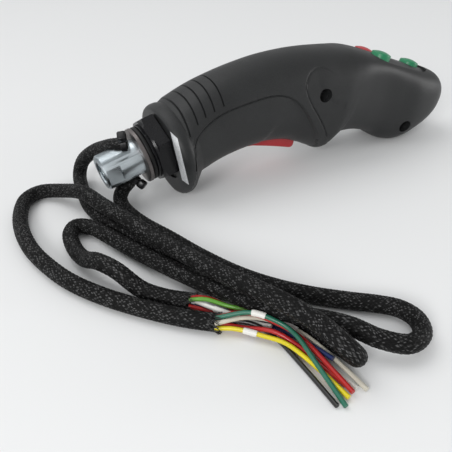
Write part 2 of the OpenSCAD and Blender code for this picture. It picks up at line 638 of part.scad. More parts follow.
wires_b_routes = [
    [[0.4, 0.6, 0.3], [
        [-96.4, -81.1, 4.9], [-91.2, -84, 5.1], [-85.6, -88.6, 3.3], [-79.2, -95.5, 3],
        [-74.9, -101.6, 2.7]]],
    [[0.68, 0.13, 0.13], [
        [-96.9, -81.6, 2.8], [-91.3, -86, 1.5], [-85, -91.7, 2.1], [-77.5, -100.4, 3.6],
        [-71.6, -109.6, 1.8], [-68.5, -121.2, 0.9]]],
    [[0.15, 0.2, 0.4], [
        [-95.6, -80.4, 1.5], [-89, -85.5, 0.9], [-82.1, -92.9, 0.9], [-76.6, -103, 0.9],
        [-72.9, -114, 2.6], [-70, -127, 3.5]]],
    [[0.85, 0.85, 0.82], [
        [-94.4, -79.1, 2.8], [-90.9, -87.3, 3.7], [-85.5, -94, 2.5], [-80.6, -100.2, 1.9],
        [-77.6, -104.3, 2.5]]],
    [[0.68, 0.13, 0.13], [
        [-95, -79.7, 4.9], [-89.2, -83.4, 4], [-82.1, -90, 0.9], [-76.1, -97.2, 0.9],
        [-75.3, -100.9, 0.9]]]
];

module sleeve_a() {
    color([0.2, 0.2, 0.2]) tube(sleeve_a_route, sleeve_d, 8);
}

module sleeve_b() {
    color([0.2, 0.2, 0.2]) tube(sleeve_b_route, sleeve_d, 8);
}

module wires_a() {
    for (w = wires_a_routes) color(w[0]) tube(w[1], wire_d, 6);
}

module wires_b() {
    for (w = wires_b_routes) color(w[0]) tube(w[1], wire_d, 6);
}

// A cable tie round the straight start of a sleeve, a distance in from its end, its head turned by turn_by
tie_t = 0.9;
tie_w = 2.6;
tie_head = [4.4, 3.8, 3.8];
module tie(route, in, turn_by) {
    v = unit(route[1] - route[0]);
    p = route[0] + v * in;
    translate(p) rotate([0, acos(v[2]), atan2(v[1], v[0])]) rotate([0, 0, turn_by]) difference() {
        union() {
            cylinder(d = sleeve_d + 0.1 + 2 * tie_t, h = tie_w, center = true);
            translate([sleeve_d / 2 + tie_head[2] / 2, 0, 0])
                cube([tie_head[2], tie_head[0], tie_head[1]], center = true);
        }
        cylinder(d = sleeve_d + 0.1, h = 20, center = true);
    }
}

module tie_a() {
    color([0.05, 0.05, 0.05]) tie(sleeve_a_route, 1.5, 150);
}

module tie_b() {
    color([0.05, 0.05, 0.05]) tie(sleeve_b_route, 1.6, 35);
}

// Blank identification sleeves on four wires: wire, first point, start and end along that stretch
marker_d = 2.2;
marker_spots = [[wires_a_routes[0][1], 1, 0.25, 0.75], [wires_a_routes[2][1], 1, 0.1, 0.6],
    [wires_a_routes[1][1], 2, 0.3, 0.8], [wires_b_routes[3][1], 1, 0.1, 0.8]];
module wire_markers() {
    color([0.86, 0.86, 0.85]) for (m = marker_spots) let (a = m[0][m[1]], b = m[0][m[1] + 1]) difference() {
        tube([a + (b - a) * m[2], a + (b - a) * m[3]], marker_d, 8);
        tube(m[0], wire_d + 0.14, 6);
    }
}

placed() shell_near();
placed() shell_far();
placed() shell_screws();
placed() screw_inserts();
placed() button_plate();
placed() button_near();
placed() button_far();
placed() button_front();
placed() switch_near();
placed() switch_far();
placed() switch_front();
placed() spring_near();
placed() spring_far();
placed() spring_front();
placed() deadman_bar();
placed() deadman_pin();
placed() deadman_spring();
placed() deadman_switch();
placed() inner_loom();
placed() adapter();
placed() collar();
placed() lock_pin();
placed() hex_nut();
placed() seal_ring();
placed() washer();
sleeve_a();
sleeve_b();
tie_a();
tie_b();
wires_a();
wires_b();
wire_markers();
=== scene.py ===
import math
import random

import bmesh
import bpy
import numpy as np
from mathutils import Matrix, Vector
from mathutils.bvhtree import BVHTree


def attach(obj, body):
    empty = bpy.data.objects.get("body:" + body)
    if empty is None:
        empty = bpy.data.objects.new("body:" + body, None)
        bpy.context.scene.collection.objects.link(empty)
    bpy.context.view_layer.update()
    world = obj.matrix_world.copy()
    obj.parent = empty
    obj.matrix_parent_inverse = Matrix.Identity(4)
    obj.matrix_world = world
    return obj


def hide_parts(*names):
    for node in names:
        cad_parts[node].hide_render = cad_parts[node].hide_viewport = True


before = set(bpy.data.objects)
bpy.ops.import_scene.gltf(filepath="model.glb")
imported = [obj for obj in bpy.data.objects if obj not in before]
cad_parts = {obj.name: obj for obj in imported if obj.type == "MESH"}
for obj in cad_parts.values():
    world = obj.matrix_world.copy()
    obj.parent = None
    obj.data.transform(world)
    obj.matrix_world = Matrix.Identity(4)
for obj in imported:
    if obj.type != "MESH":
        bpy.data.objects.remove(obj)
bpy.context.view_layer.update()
scene = bpy.context.scene
scene.view_settings.view_transform = "Standard"
mm = 0.001
tiltDegrees = 13.5

# The grip's own coordinates are millimetres: x along the handle, z up from the finger side.
# This offset brings them to the row frame, in which the handle lies on the table.
handleOffset = Vector((-57.3727, 0.0, -2.55223))


def placed(p):
    return (Vector(p) + handleOffset) * mm


cameraSetup = {"place": (-165.67, -226.6, 137.448), "aim": (0.4217, 0.7304, -0.5373), "lens": 47.8,
               "sensor": 36}


def makeCamera(setup):
    data = bpy.data.cameras.new("camera")
    data.lens = setup["lens"]
    data.sensor_width = setup["sensor"]
    data.clip_end = 20
    camera = bpy.data.objects.new("camera", data)
    scene.collection.objects.link(camera)
    camera.location = Vector(setup["place"]) * mm
    camera.rotation_mode = "QUATERNION"
    camera.rotation_quaternion = Vector(setup["aim"]).to_track_quat("-Z", "Y")
    scene.camera = camera


makeCamera(cameraSetup)
print("camera set")


def makePiece(name, bm):
    mesh = bpy.data.meshes.new(name)
    bm.normal_update()
    bm.to_mesh(mesh)
    bm.free()
    piece = bpy.data.objects.new(name, mesh)
    scene.collection.objects.link(piece)
    return piece


def bakeModifiers(piece):
    graph = bpy.context.evaluated_depsgraph_get()
    mesh = bpy.data.meshes.new_from_object(piece.evaluated_get(graph))
    old = piece.data
    piece.modifiers.clear()
    piece.data = mesh
    bpy.data.meshes.remove(old)
    mesh.name = piece.name


def combine(piece, tool, operation="DIFFERENCE"):
    step = piece.modifiers.new("combine", "BOOLEAN")
    step.object = tool
    step.operation = operation
    step.solver = "MANIFOLD"
    bakeModifiers(piece)
    bpy.data.objects.remove(tool)


def bevelEdges(piece, width, segments=2, angle=30):
    step = piece.modifiers.new("bevel", "BEVEL")
    step.width = width * mm
    step.segments = segments
    step.limit_method = "ANGLE"
    step.angle_limit = math.radians(angle)
    step.use_clamp_overlap = True
    bakeModifiers(piece)


def finishPiece(piece, material, body, node=None, angle=32):
    piece.data.shade_smooth()
    piece.data.set_sharp_from_angle(angle=math.radians(angle))
    piece.data.materials.clear()
    piece.data.materials.append(material)
    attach(piece, body)
    if node:
        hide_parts(node)
    return piece


def frameAlong(direction, side=(0, 1, 0)):
    # a turn that takes local Z to the direction and keeps local Y near the side
    z = Vector(direction).normalized()
    if abs(z.dot(Vector(side))) > 0.99:
        side = (0, 0, 1)
    x = Vector(side).cross(z).normalized()
    y = z.cross(x)
    return Matrix((x, y, z)).transposed().to_4x4()


def lathe(name, profile, place, segments=64):
    # profile is radius and height pairs in mm, from the bottom of the axis outwards
    bm = bmesh.new()
    points = [bm.verts.new((r * mm, 0, h * mm)) for r, h in profile]
    edges = [bm.edges.new((a, b)) for a, b in zip(points, points[1:] + points[:1])]
    bmesh.ops.spin(bm, geom=points + edges, axis=(0, 0, 1), cent=(0, 0, 0), angle=math.tau,
                   steps=segments, use_merge=True)
    bmesh.ops.remove_doubles(bm, verts=bm.verts, dist=1e-7)
    bmesh.ops.recalc_face_normals(bm, faces=bm.faces)
    bmesh.ops.transform(bm, matrix=place, verts=bm.verts)
    return makePiece(name, bm)


def drum(name, diameter, low, high, place, segments):
    # a round bar along the axis of place
    r = diameter / 2
    return lathe(name, [(0, low), (r, low), (r, high), (0, high)], place, segments)


def rod(name, start, end, diameter, segments=48):
    # start and end are in grip millimetres
    a, b = placed(start), placed(end)
    bm = bmesh.new()
    bmesh.ops.create_cone(bm, cap_ends=True, segments=segments, radius1=diameter * mm / 2,
                          radius2=diameter * mm / 2, depth=(b - a).length)
    bmesh.ops.transform(bm, matrix=Matrix.Translation((a + b) / 2) @ frameAlong(b - a), verts=bm.verts)
    return makePiece(name, bm)


def extrudeOutline(name, outline, place, low, high):
    # outline is x and y pairs in mm in the plane of place
    bm = bmesh.new()
    face = bm.faces.new([bm.verts.new((x * mm, y * mm, low * mm)) for x, y in outline])
    grown = bmesh.ops.extrude_face_region(bm, geom=[face])
    top = [v for v in grown["geom"] if isinstance(v, bmesh.types.BMVert)]
    bmesh.ops.translate(bm, verts=top, vec=(0, 0, (high - low) * mm))
    bmesh.ops.recalc_face_normals(bm, faces=bm.faces)
    bmesh.ops.transform(bm, matrix=place, verts=bm.verts)
    return makePiece(name, bm)


def rectangle(left, right, low, high):
    return [(left, low), (right, low), (right, high), (left, high)]


def catmull(a, b, c, d, t):
    return 0.5 * (2 * b + (c - a) * t + (2 * a - 5 * b + 4 * c - d) * t * t
                  + (3 * b - a - 3 * c + d) * t ** 3)


def throughPoints(points, step):
    # a smooth line through the points, with samples about a step apart
    pts = [Vector(p) for p in points]
    pts = [pts[0] * 2 - pts[1]] + pts + [pts[-1] * 2 - pts[-2]]
    line = []
    for a, b, c, d in zip(pts, pts[1:], pts[2:], pts[3:]):
        count = max(1, round((c - b).length / step))
        line += [catmull(a, b, c, d, k / count) for k in range(count)]
    line.append(pts[-2])
    return line


def newGroup(name, inputs, outputs):
    group = bpy.data.node_groups.new(name, "ShaderNodeTree")
    for label, kind, value in inputs:
        group.interface.new_socket(label, in_out="INPUT", socket_type=kind).default_value = value
    for label, kind in outputs:
        group.interface.new_socket(label, in_out="OUTPUT", socket_type=kind)
    return group, group.nodes.new("NodeGroupInput"), group.nodes.new("NodeGroupOutput")


def addNode(tree, kind, **settings):
    node = tree.nodes.new(kind)
    for key, value in settings.items():
        if key.startswith("in_"):
            node.inputs[int(key[3:])].default_value = value
        else:
            setattr(node, key, value)
    return node


def setInputs(node, values):
    for label, value in values.items():
        node.inputs[label].default_value = value


def calc(tree, operation, *values):
    node = addNode(tree, "ShaderNodeMath", operation=operation)
    for socket, value in zip(node.inputs, values):
        if isinstance(value, bpy.types.NodeSocket):
            tree.links.new(value, socket)
        else:
            socket.default_value = value
    return node.outputs[0]


def mixed(tree, factor, a, b):
    return calc(tree, "MULTIPLY_ADD", factor, calc(tree, "SUBTRACT", b, a), a)


def halfWave(tree, value):
    return calc(tree, "SINE", calc(tree, "MULTIPLY", value, math.pi))


def bumpFrom(tree, shader, height, strength, distance):
    bump = addNode(tree, "ShaderNodeBump")
    setInputs(bump, {"Strength": strength, "Distance": distance})
    tree.links.new(height, bump.inputs["Height"])
    tree.links.new(bump.outputs[0], shader.inputs["Normal"])


def grainGroup():
    # fine moulded or cast grain over broad, faint unevenness
    group, ins, outs = newGroup("grain", [
        ("Grain Scale", "NodeSocketFloat", 2500.0), ("Patch Scale", "NodeSocketFloat", 60.0),
        ("Patch Amount", "NodeSocketFloat", 0.2), ("Speck Amount", "NodeSocketFloat", 0.2)],
        [("Height", "NodeSocketFloat"), ("Shade", "NodeSocketFloat"), ("Patch", "NodeSocketFloat")])
    link = group.links.new
    where = addNode(group, "ShaderNodeTexCoord")
    fine = addNode(group, "ShaderNodeTexNoise", in_3=3.0, in_4=0.6)
    patch = addNode(group, "ShaderNodeTexNoise", in_3=4.0, in_4=0.5)
    link(where.outputs["Object"], fine.inputs["Vector"])
    link(where.outputs["Object"], patch.inputs["Vector"])
    link(ins.outputs["Grain Scale"], fine.inputs["Scale"])
    link(ins.outputs["Patch Scale"], patch.inputs["Scale"])
    speck = addNode(group, "ShaderNodeMapRange", in_1=0.35, in_2=0.65, in_3=-0.5, in_4=0.5)
    broad = addNode(group, "ShaderNodeMapRange", in_1=0.3, in_2=0.7, in_3=-0.5, in_4=0.5)
    link(fine.outputs[0], speck.inputs[0])
    link(patch.outputs[0], broad.inputs[0])
    specks = calc(group, "MULTIPLY", speck.outputs[0], ins.outputs["Speck Amount"])
    uneven = calc(group, "MULTIPLY_ADD", broad.outputs[0], ins.outputs["Patch Amount"], specks)
    link(fine.outputs[0], outs.inputs["Height"])
    link(calc(group, "ADD", uneven, 1.0), outs.inputs["Shade"])
    link(broad.outputs[0], outs.inputs["Patch"])
    return group


grain = grainGroup()


def makeMaterial(name):
    material = bpy.data.materials.new(name)
    material.use_nodes = True
    tree = material.node_tree
    return material, tree, tree.nodes["Principled BSDF"]


def grainShade(tree, shader, colour, roughness, uneven, amounts):
    # the grain tints the colour and shifts the roughness
    group = addNode(tree, "ShaderNodeGroup", node_tree=grain)
    setInputs(group, dict(zip(("Grain Scale", "Patch Scale", "Patch Amount", "Speck Amount"), amounts)))
    tint = addNode(tree, "ShaderNodeVectorMath", operation="SCALE", in_0=colour)
    tree.links.new(group.outputs["Shade"], tint.inputs["Scale"])
    tree.links.new(tint.outputs[0], shader.inputs["Base Color"])
    rough = addNode(tree, "ShaderNodeMath", operation="MULTIPLY_ADD", in_1=uneven, in_2=roughness,
                    use_clamp=True)
    tree.links.new(group.outputs["Patch"], rough.inputs[0])
    tree.links.new(rough.outputs[0], shader.inputs["Roughness"])
    return group


def moulded(name, colour, roughness=0.5, metallic=0.0, grainScale=2500.0, depth=0.15,
            patchScale=60.0, patch=0.2, speck=0.2, uneven=0.1, specular=0.5, distance=0.00008):
    material, tree, shader = makeMaterial(name)
    group = grainShade(tree, shader, colour, roughness, uneven, (grainScale, patchScale, patch, speck))
    bumpFrom(tree, shader, group.outputs["Height"], depth, distance)
    setInputs(shader, {"Metallic": metallic, "Specular IOR Level": specular})
    return material


gripPlastic = moulded("gripPlastic", (0.0145, 0.0152, 0.0156), roughness=0.46, grainScale=2300, depth=0.5,
                      patch=0.2, speck=0.5, uneven=0.08, specular=0.36, distance=0.0001)
platePlastic = moulded("platePlastic", (0.014, 0.015, 0.016), roughness=0.42, depth=0.3)
greenPlastic = moulded("greenPlastic", (0.012, 0.2, 0.085), roughness=0.36, depth=0.1, speck=0.06, patch=0.1)
redPlastic = moulded("redPlastic", (0.42, 0.02, 0.025), roughness=0.38, depth=0.1, speck=0.06, patch=0.12)
blackPlastic = moulded("blackPlastic", (0.02, 0.02, 0.021), roughness=0.45, depth=0.3)
nutCoating = moulded("nutCoating", (0.006, 0.006, 0.007), roughness=0.22, depth=0.25, grainScale=900,
                     uneven=0.16, specular=0.22)
sealRubber = moulded("sealRubber", (0.008, 0.008, 0.008), roughness=0.5, depth=0.3, specular=0.25)
springSteel = moulded("springSteel", (0.6, 0.6, 0.62), roughness=0.3, metallic=1.0, depth=0.1)
brassInsert = moulded("brassInsert", (0.72, 0.52, 0.22), roughness=0.3, metallic=1.0, depth=0.1)
washerSteel = moulded("washerSteel", (0.17, 0.155, 0.152), roughness=0.42, metallic=1.0, depth=0.35,
                      grainScale=1200, uneven=0.2)
tieNylon = moulded("tieNylon", (0.006, 0.006, 0.007), roughness=0.3, depth=0.1, speck=0.1, specular=0.3)
markerWhite = moulded("markerWhite", (0.72, 0.71, 0.67), roughness=0.45, depth=0.15, speck=0.06, patch=0.1)
labelFoil = moulded("labelFoil", (0.5, 0.51, 0.52), roughness=0.4, depth=0.3, grainScale=1500,
                    speck=0.25, patch=0.25, patchScale=500)
cordBlack = moulded("cordBlack", (0.02, 0.02, 0.02), roughness=0.6, depth=0.3)


def platedSteel(name):
    # bright zinc plate: turned lines round the bar, faint cloudy patches
    material, tree, shader = makeMaterial(name)
    where = addNode(tree, "ShaderNodeTexCoord")
    turn = addNode(tree, "ShaderNodeMapping")
    setInputs(turn, {"Rotation": (0, math.radians(tiltDegrees), 0), "Scale": (9000, 60, 60)})
    tree.links.new(where.outputs["Object"], turn.inputs["Vector"])
    lines = addNode(tree, "ShaderNodeTexNoise", in_2=1.0, in_3=2.0)
    tree.links.new(turn.outputs[0], lines.inputs["Vector"])
    grainShade(tree, shader, (0.60, 0.66, 0.69), 0.29, 0.05, (700.0, 150.0, 0.12, 0.04))
    bumpFrom(tree, shader, lines.outputs[0], 0.12, 0.00002)
    setInputs(shader, {"Metallic": 1.0})
    return material


zincSteel = platedSteel("zincSteel")


def braidMaterial(name, carriers, pitch, filaments=3):
    # strands cross over and under; each crossing has a few filaments, and some of them carry painted glints:
    # grey specks brightest on the strand's crown
    material, tree, shader = makeMaterial(name)
    link = tree.links.new
    where = addNode(tree, "ShaderNodeUVMap", uv_map="braid")
    parts = addNode(tree, "ShaderNodeSeparateXYZ")
    link(where.outputs[0], parts.inputs[0])
    turned = calc(tree, "MULTIPLY", parts.outputs[0], carriers)
    along = calc(tree, "DIVIDE", parts.outputs[1], pitch * 2)
    a, b = calc(tree, "ADD", turned, along), calc(tree, "SUBTRACT", turned, along)
    cellA, cellB = calc(tree, "FLOOR", a), calc(tree, "FLOOR", b)
    inA, inB = calc(tree, "FRACT", a), calc(tree, "FRACT", b)
    under = calc(tree, "FLOORED_MODULO", calc(tree, "ADD", cellA, cellB), 2.0)
    across = mixed(tree, under, inA, inB)
    fine = calc(tree, "MULTIPLY", across, filaments)
    key = addNode(tree, "ShaderNodeCombineXYZ")
    link(mixed(tree, under, cellA, cellB), key.inputs[0])
    link(mixed(tree, under, cellB, cellA), key.inputs[1])
    link(calc(tree, "ADD", calc(tree, "FLOOR", fine), calc(tree, "MULTIPLY", under, 10.0)), key.inputs[2])
    chance = addNode(tree, "ShaderNodeTexWhiteNoise", noise_dimensions="3D")
    link(key.outputs[0], chance.inputs[0])
    # painted glints: random filaments turn grey, most on each crossing's crown and least in the grooves
    # between filaments
    paintedGlint = addNode(tree, "ShaderNodeMapRange", in_1=0.55, in_2=1.0, in_3=0.004, in_4=0.13)
    link(chance.outputs["Value"], paintedGlint.inputs[0])
    thread = halfWave(tree, calc(tree, "FRACT", fine))
    crown = calc(tree, "POWER", halfWave(tree, mixed(tree, under, inB, inA)), 2.0)
    # base colour: the near-black braid plus the painted glints
    shade = calc(tree, "MULTIPLY_ADD", calc(tree, "MULTIPLY", paintedGlint.outputs[0], crown),
                 calc(tree, "MULTIPLY_ADD", thread, 0.8, 0.2), 0.003)
    link(shade, shader.inputs["Base Color"])
    bumpFrom(tree, shader, calc(tree, "MULTIPLY_ADD", thread, 0.35, halfWave(tree, across)), 0.8, 0.00012)
    setInputs(shader, {"Roughness": 0.55, "Specular IOR Level": 0.12})
    return material


sleeveShape = {"diameter": 6.5, "around": 44, "step": 0.42, "carriers": 15, "pitch": 1.05, "height": 0.26}
braid = braidMaterial("braid", sleeveShape["carriers"], sleeveShape["pitch"])
print("finishes made")

sleeveRoutes = {
    "sleeveA": [
        (-84.1, -0.8, 28.9), (-87.5, 0.6, 28.4), (-89.4, 4.9, 26.8), (-90.9, 11.1, 23.8),
        (-92.8, 16.6, 20.8), (-94.7, 21.9, 17), (-96.4, 26.6, 12.6), (-97.7, 28.8, 8.3),
        (-99.2, 27.5, 4.2), (-101.1, 19.7, 3.4), (-103.1, 8.1, 3.3), (-103.9, -3.5, 3.3),
        (-101.6, -17.1, 3.4), (-97.2, -31.5, 3.4), (-91.5, -48.1, 3.3), (-85.5, -63.8, 3.4),
        (-79.4, -79.5, 3.3), (-72.5, -95.4, 3.4), (-67.4, -109.3, 3.3), (-64.8, -121.4, 3.3),
        (-65.5, -130.7, 6.2), (-68.2, -134.4, 10.3), (-70.9, -130.8, 13.8), (-72.9, -120.3, 15.1),
        (-77.6, -106, 15.7), (-82.1, -92.1, 14.3), (-86.5, -75.8, 12.4), (-90.4, -60.4, 11.1),
        (-95, -43.2, 10.7), (-99.3, -26.1, 10.7), (-102.6, -13.2, 10.5), (-106, 0.7, 10.2),
        (-111.4, 15.7, 5.4), (-119.2, 22.6, 3.6), (-127, 18.8, 3.4), (-132.3, 7, 3.4),
        (-134.9, -6.8, 3.4), (-134.9, -21.5, 3.3), (-132.4, -35.3, 3.3), (-128, -49, 3.3),
        (-120.6, -62.8, 3.4), (-111.3, -75.6, 3.4), (-101.9, -86.4, 3.4), (-93.6, -94, 3.4)],
    "sleeveB": [
        (-82.1, 0, 13.2), (-84.6, 0.4, 10), (-88, 0.3, 6.8), (-91, -3.9, 4.7), (-91.6, -11.7, 3.4),
        (-89.6, -25.5, 3.4), (-84.7, -41.2, 3.4), (-79.8, -57.9, 3.3), (-73.4, -74.6, 3.3),
        (-66, -87.4, 3.3), (-57.2, -98.2, 3.3), (-47.9, -107.1, 3.3), (-40.1, -114, 3.4),
        (-35.5, -120.1, 3.7), (-35.1, -127.4, 4.2), (-39.7, -133.9, 5), (-47.5, -135.7, 6.1),
        (-55.2, -130.7, 7.9), (-62.7, -122, 10.5), (-74.7, -106.5, 9.3), (-81.6, -91, 7.1),
        (-88.3, -74.6, 5.1), (-94.9, -58.3, 4.5), (-100.5, -43.2, 4.1), (-105.2, -29, 3.8),
        (-108.9, -18.9, 3.8), (-114.3, -14.3, 3.8), (-118.6, -18.6, 3.4), (-120.1, -29.4, 3.3),
        (-119.6, -40.2, 5.2), (-117.7, -50.2, 9.7), (-113.8, -59, 9.7), (-108.3, -66.8, 4.7),
        (-102.4, -73.6, 3.3), (-96, -80, 3.4)],
}
wireShape = {"diameter": 1.6, "step": 1.6}
wireRoutes = {
    "wireYellow": ("A", (0.66, 0.55, 0.01), [
        (-94.3, -95.5, 2.4), (-88.7, -100.1, 3), (-82.7, -106.9, 2.7), (-78.2, -114.4, 3),
        (-75.8, -126.1, 2.3), (-74.3, -140, 1.3)]),
    "wireCream": ("A", (0.58, 0.55, 0.46), [
        (-94.4, -95.6, 4.4), (-84.9, -99.2, 5.6), (-76.7, -104.5, 4.4), (-71.3, -113.1, 3.3),
        (-68.7, -125.5, 2.1), (-67.4, -140.1, 0.9)]),
    "wireGreen": ("A", (0.015, 0.13, 0.08), [
        (-93.2, -94.3, 5.4), (-84.5, -100.6, 8.7), (-78.7, -107.7, 8.1), (-75.5, -115, 6.1),
        (-76.3, -127.7, 4.1), (-76.9, -142, 0.9)]),
    "wireBlack": ("A", (0.012, 0.012, 0.012), [
        (-92.1, -93.1, 2.4), (-83.3, -99.6, 2.9), (-78.8, -108.3, 1.3), (-78.3, -121.8, 0.9),
        (-79, -140.5, 0.9)]),
    "wireRed": ("A", (0.42, 0.015, 0.015), [
        (-92.1, -93.1, 4.4), (-84.3, -99.1, 7.4), (-77.6, -107.5, 6.2), (-73.6, -116.2, 4.5),
        (-72.9, -128.4, 3.4), (-72.5, -139.6, 2.1)]),
    "wireWhite": ("A", (0.68, 0.67, 0.62), [
        (-93.2, -94.2, 1.4), (-84.6, -98.6, 0.9), (-78.3, -104.6, 0.9), (-74.5, -112.7, 0.9),
        (-71.4, -124.8, 0.9), (-69.8, -138.2, 0.9)]),
    "wireRedThin": ("A", (0.42, 0.015, 0.015), [
        (-93.2, -94.3, 3.4), (-85.6, -100.1, 2.2), (-79.8, -108, 4.3), (-75.6, -115.5, 2.6),
        (-73.4, -126.9, 1.6), (-71.9, -135.6, 0.9)]),
    "wireLime": ("B", (0.13, 0.36, 0.045), [
        (-96.4, -81.1, 4.9), (-91.2, -84, 5.1), (-85.6, -88.6, 3.3), (-79.2, -95.5, 3),
        (-74.9, -101.6, 2.7)]),
    "wireRedB": ("B", (0.45, 0.015, 0.015), [
        (-96.9, -81.6, 2.8), (-91.3, -86, 1.5), (-85, -91.7, 2.1), (-77.5, -100.4, 3.6),
        (-71.6, -109.6, 1.8), (-68.5, -121.2, 0.9)]),
    "wireNavy": ("B", (0.012, 0.025, 0.11), [
        (-95.6, -80.4, 1.5), (-89, -85.5, 0.9), (-82.1, -92.9, 0.9), (-76.6, -103, 0.9),
        (-72.9, -114, 2.6), (-70, -127, 3.5)]),
    "wireWhiteB": ("B", (0.7, 0.7, 0.66), [
        (-94.4, -79.1, 2.8), (-90.9, -87.3, 3.7), (-85.5, -94, 2.5), (-80.6, -100.2, 1.9),
        (-77.6, -104.3, 2.5)]),
    "wireRedC": ("B", (0.45, 0.015, 0.015), [
        (-95, -79.7, 4.9), (-89.2, -83.4, 4), (-82.1, -90, 0.9), (-76.1, -97.2, 0.9),
        (-75.3, -100.9, 0.9)]),
}


def ringFrames(line):
    # directions along the line and a pair of sides that turn with it as little as possible
    frames = []
    side = None
    for k, p in enumerate(line):
        ahead = (line[min(k + 1, len(line) - 1)] - line[max(k - 1, 0)]).normalized()
        if side is None:
            side = ahead.orthogonal().normalized()
        side = (side - ahead * side.dot(ahead)).normalized()
        frames.append((p, side, ahead.cross(side)))
    return frames


def circleRing(p, side, up, radius, count):
    turns = [math.tau * j / count for j in range(count)]
    return [(p + (side * math.cos(a) + up * math.sin(a)) * radius) * mm for a in turns]


def growRings(bm, rings, closeEnds=True):
    # a tube: a grid is wrapped round the rings and welded along its two edges
    count, rows = len(rings[0]), len(rings)
    verts = bmesh.ops.create_grid(bm, x_segments=count, y_segments=rows - 1, size=1)["verts"]
    made, weld = [], {}
    for k, ring in enumerate(rings):
        row = verts[k * (count + 1):(k + 1) * (count + 1)]
        for v, p in zip(row, ring + ring[:1]):
            v.co = p
        weld[row[-1]] = row[0]
        made.append(row[:-1])
    bmesh.ops.weld_verts(bm, targetmap=weld)
    if closeEnds:
        for ring in (made[0], made[-1]):
            bmesh.ops.contextual_create(bm, geom=ring)
    bmesh.ops.recalc_face_normals(bm, faces=bm.faces)
    return made


def braidedSleeve(name, route):
    shape = sleeveShape
    line = throughPoints(route, shape["step"])
    around, carriers = shape["around"], shape["carriers"]
    base = shape["diameter"] / 2 - shape["height"]
    rings, travels = [], []
    travel = 0.0
    for k, (p, side, up) in enumerate(ringFrames(line)):
        travel += (line[k] - line[k - 1]).length if k else 0.0
        ring = []
        for j in range(around):
            turn = j / around
            a = turn * carriers + travel / shape["pitch"] / 2
            b = turn * carriers - travel / shape["pitch"] / 2
            fa, fb = (math.sin(math.pi * (q - math.floor(q))) for q in (a, b))
            over = (math.floor(a) + math.floor(b)) % 2 == 0
            lift = fa ** 0.6 * (0.45 + 0.55 * fb) if over else fb ** 0.6 * (0.45 + 0.55 * fa)
            radius = base + shape["height"] * lift
            angle = turn * math.tau
            ring.append((p + (side * math.cos(angle) + up * math.sin(angle)) * radius) * mm)
        rings.append(ring)
        travels.append(travel)
    bm = bmesh.new()
    made = growRings(bm, rings)
    turnAt, travelAt = {}, {}
    for ring, travel in zip(made, travels):
        for j, v in enumerate(ring):
            turnAt[v], travelAt[v] = j / around, travel
    braidMap = bm.loops.layers.uv.new("braid")
    for face in bm.faces:
        turns = [turnAt[loop.vert] for loop in face.loops]
        wraps = max(turns) - min(turns) > 0.5 and len(turns) == 4
        for loop, turn in zip(face.loops, turns):
            loop[braidMap].uv = (turn + 1 if wraps and turn < 0.5 else turn, travelAt[loop.vert])
    return makePiece(name, bm), [q * mm for q in line]


# loose filaments: how many, their radius, how far in from the sleeve's outside, how long, wide and turned
frayShape = {"strands": 26, "radius": 0.16, "inset": 0.25, "reach": (1.2, 3.4), "flare": 0.22, "swirl": 0.45}


def frayedEnd(name, route, seed):
    # filaments that stand out of the cut end of a sleeve
    f = frayShape
    radius = sleeveShape["diameter"] / 2 - f["inset"]
    chance = random.Random(seed)
    end = Vector(route[-1])
    ahead = (end - Vector(route[-2])).normalized()
    side = ahead.orthogonal().normalized()
    up = ahead.cross(side)
    bm = bmesh.new()
    for k in range(f["strands"]):
        angle = math.tau * (k + chance.uniform(-0.3, 0.3)) / f["strands"]
        out = side * math.cos(angle) + up * math.sin(angle)
        swirl = out.cross(ahead) * chance.choice((-1, 1))
        reach = chance.uniform(*f["reach"])
        points = []
        for t in (-0.6, 0.0, 0.4, 0.75, 1.0):
            flare = 1 + f["flare"] * max(0.0, t) ** 2 * chance.uniform(0.4, 1.2)
            p = end + out * radius * flare + ahead * reach * t + swirl * reach * f["swirl"] * t
            p.z = max(p.z, 0.25)
            points.append(p)
        growRings(bm, [circleRing(*ring, f["radius"], 5) for ring in ringFrames(points)])
    return makePiece(name, bm)


def buildSleeves():
    for letter, seed in (("A", 23), ("B", 28)):
        name = "sleeve" + letter
        route = sleeveRoutes[name]
        piece, line = braidedSleeve(name, route)
        finishPiece(piece, braid, "grip", node="sleeve_" + letter.lower(), angle=180)
        fray = frayedEnd("fray" + letter, route, seed)
        finishPiece(fray, cordBlack, "grip", angle=180)


def wireMaterial(name, colour):
    return moulded(name + "Insulation", colour, roughness=0.33, depth=0.12, speck=0.05, patch=0.14,
                   patchScale=200)


def buildWires():
    for name, (letter, colour, route) in wireRoutes.items():
        line = throughPoints(route, wireShape["step"])
        curve = bpy.data.curves.new(name, "CURVE")
        curve.dimensions = "3D"
        curve.bevel_depth = wireShape["diameter"] / 2 * mm
        curve.bevel_resolution = 3
        curve.use_fill_caps = True
        spline = curve.splines.new("POLY")
        spline.points.add(len(line) - 1)
        for point, p in zip(spline.points, line):
            point.co = (*(p * mm), 1)
        wire = bpy.data.objects.new(name, curve)
        scene.collection.objects.link(wire)
        curve.materials.append(wireMaterial(name, colour))
        spline.use_smooth = True
        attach(wire, "grip")
        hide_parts("wires_" + letter.lower())


buildSleeves()
buildWires()
print("cords laid")

gripShape = {
    "wall": 2.4, "gripHalf": 17.2, "headHalf": 19.6, "foot": (-10.5, 27.0),
    "lipThick": 7.0, "lipHalf": 23.0, "lipReach": 25.5, "lipPalm": 17.0, "lipRound": 2.8,
    "lipLean": (0.9, -1.5),
    # the room inside: where it starts on the axis, the length that its rings behind the lip share,
    # and how many of its last rings step back from the nose
    "floor": 5.0, "floorSpan": 3.0, "noseRings": 38.0,
}
tilt = math.radians(tiltDegrees)
sn, cs = math.sin(tilt), math.cos(tilt)


def onAxis(u, v):
    x, z = gripShape["foot"]
    return (x + u * cs - v * sn, z + u * sn + v * cs)


def axisPoint(u):
    x, z = onAxis(u, 0)
    return (x, 0, z)


def offAxis(p):
    x, z = gripShape["foot"]
    return (p[1] - z) * cs - (p[0] - x) * sn


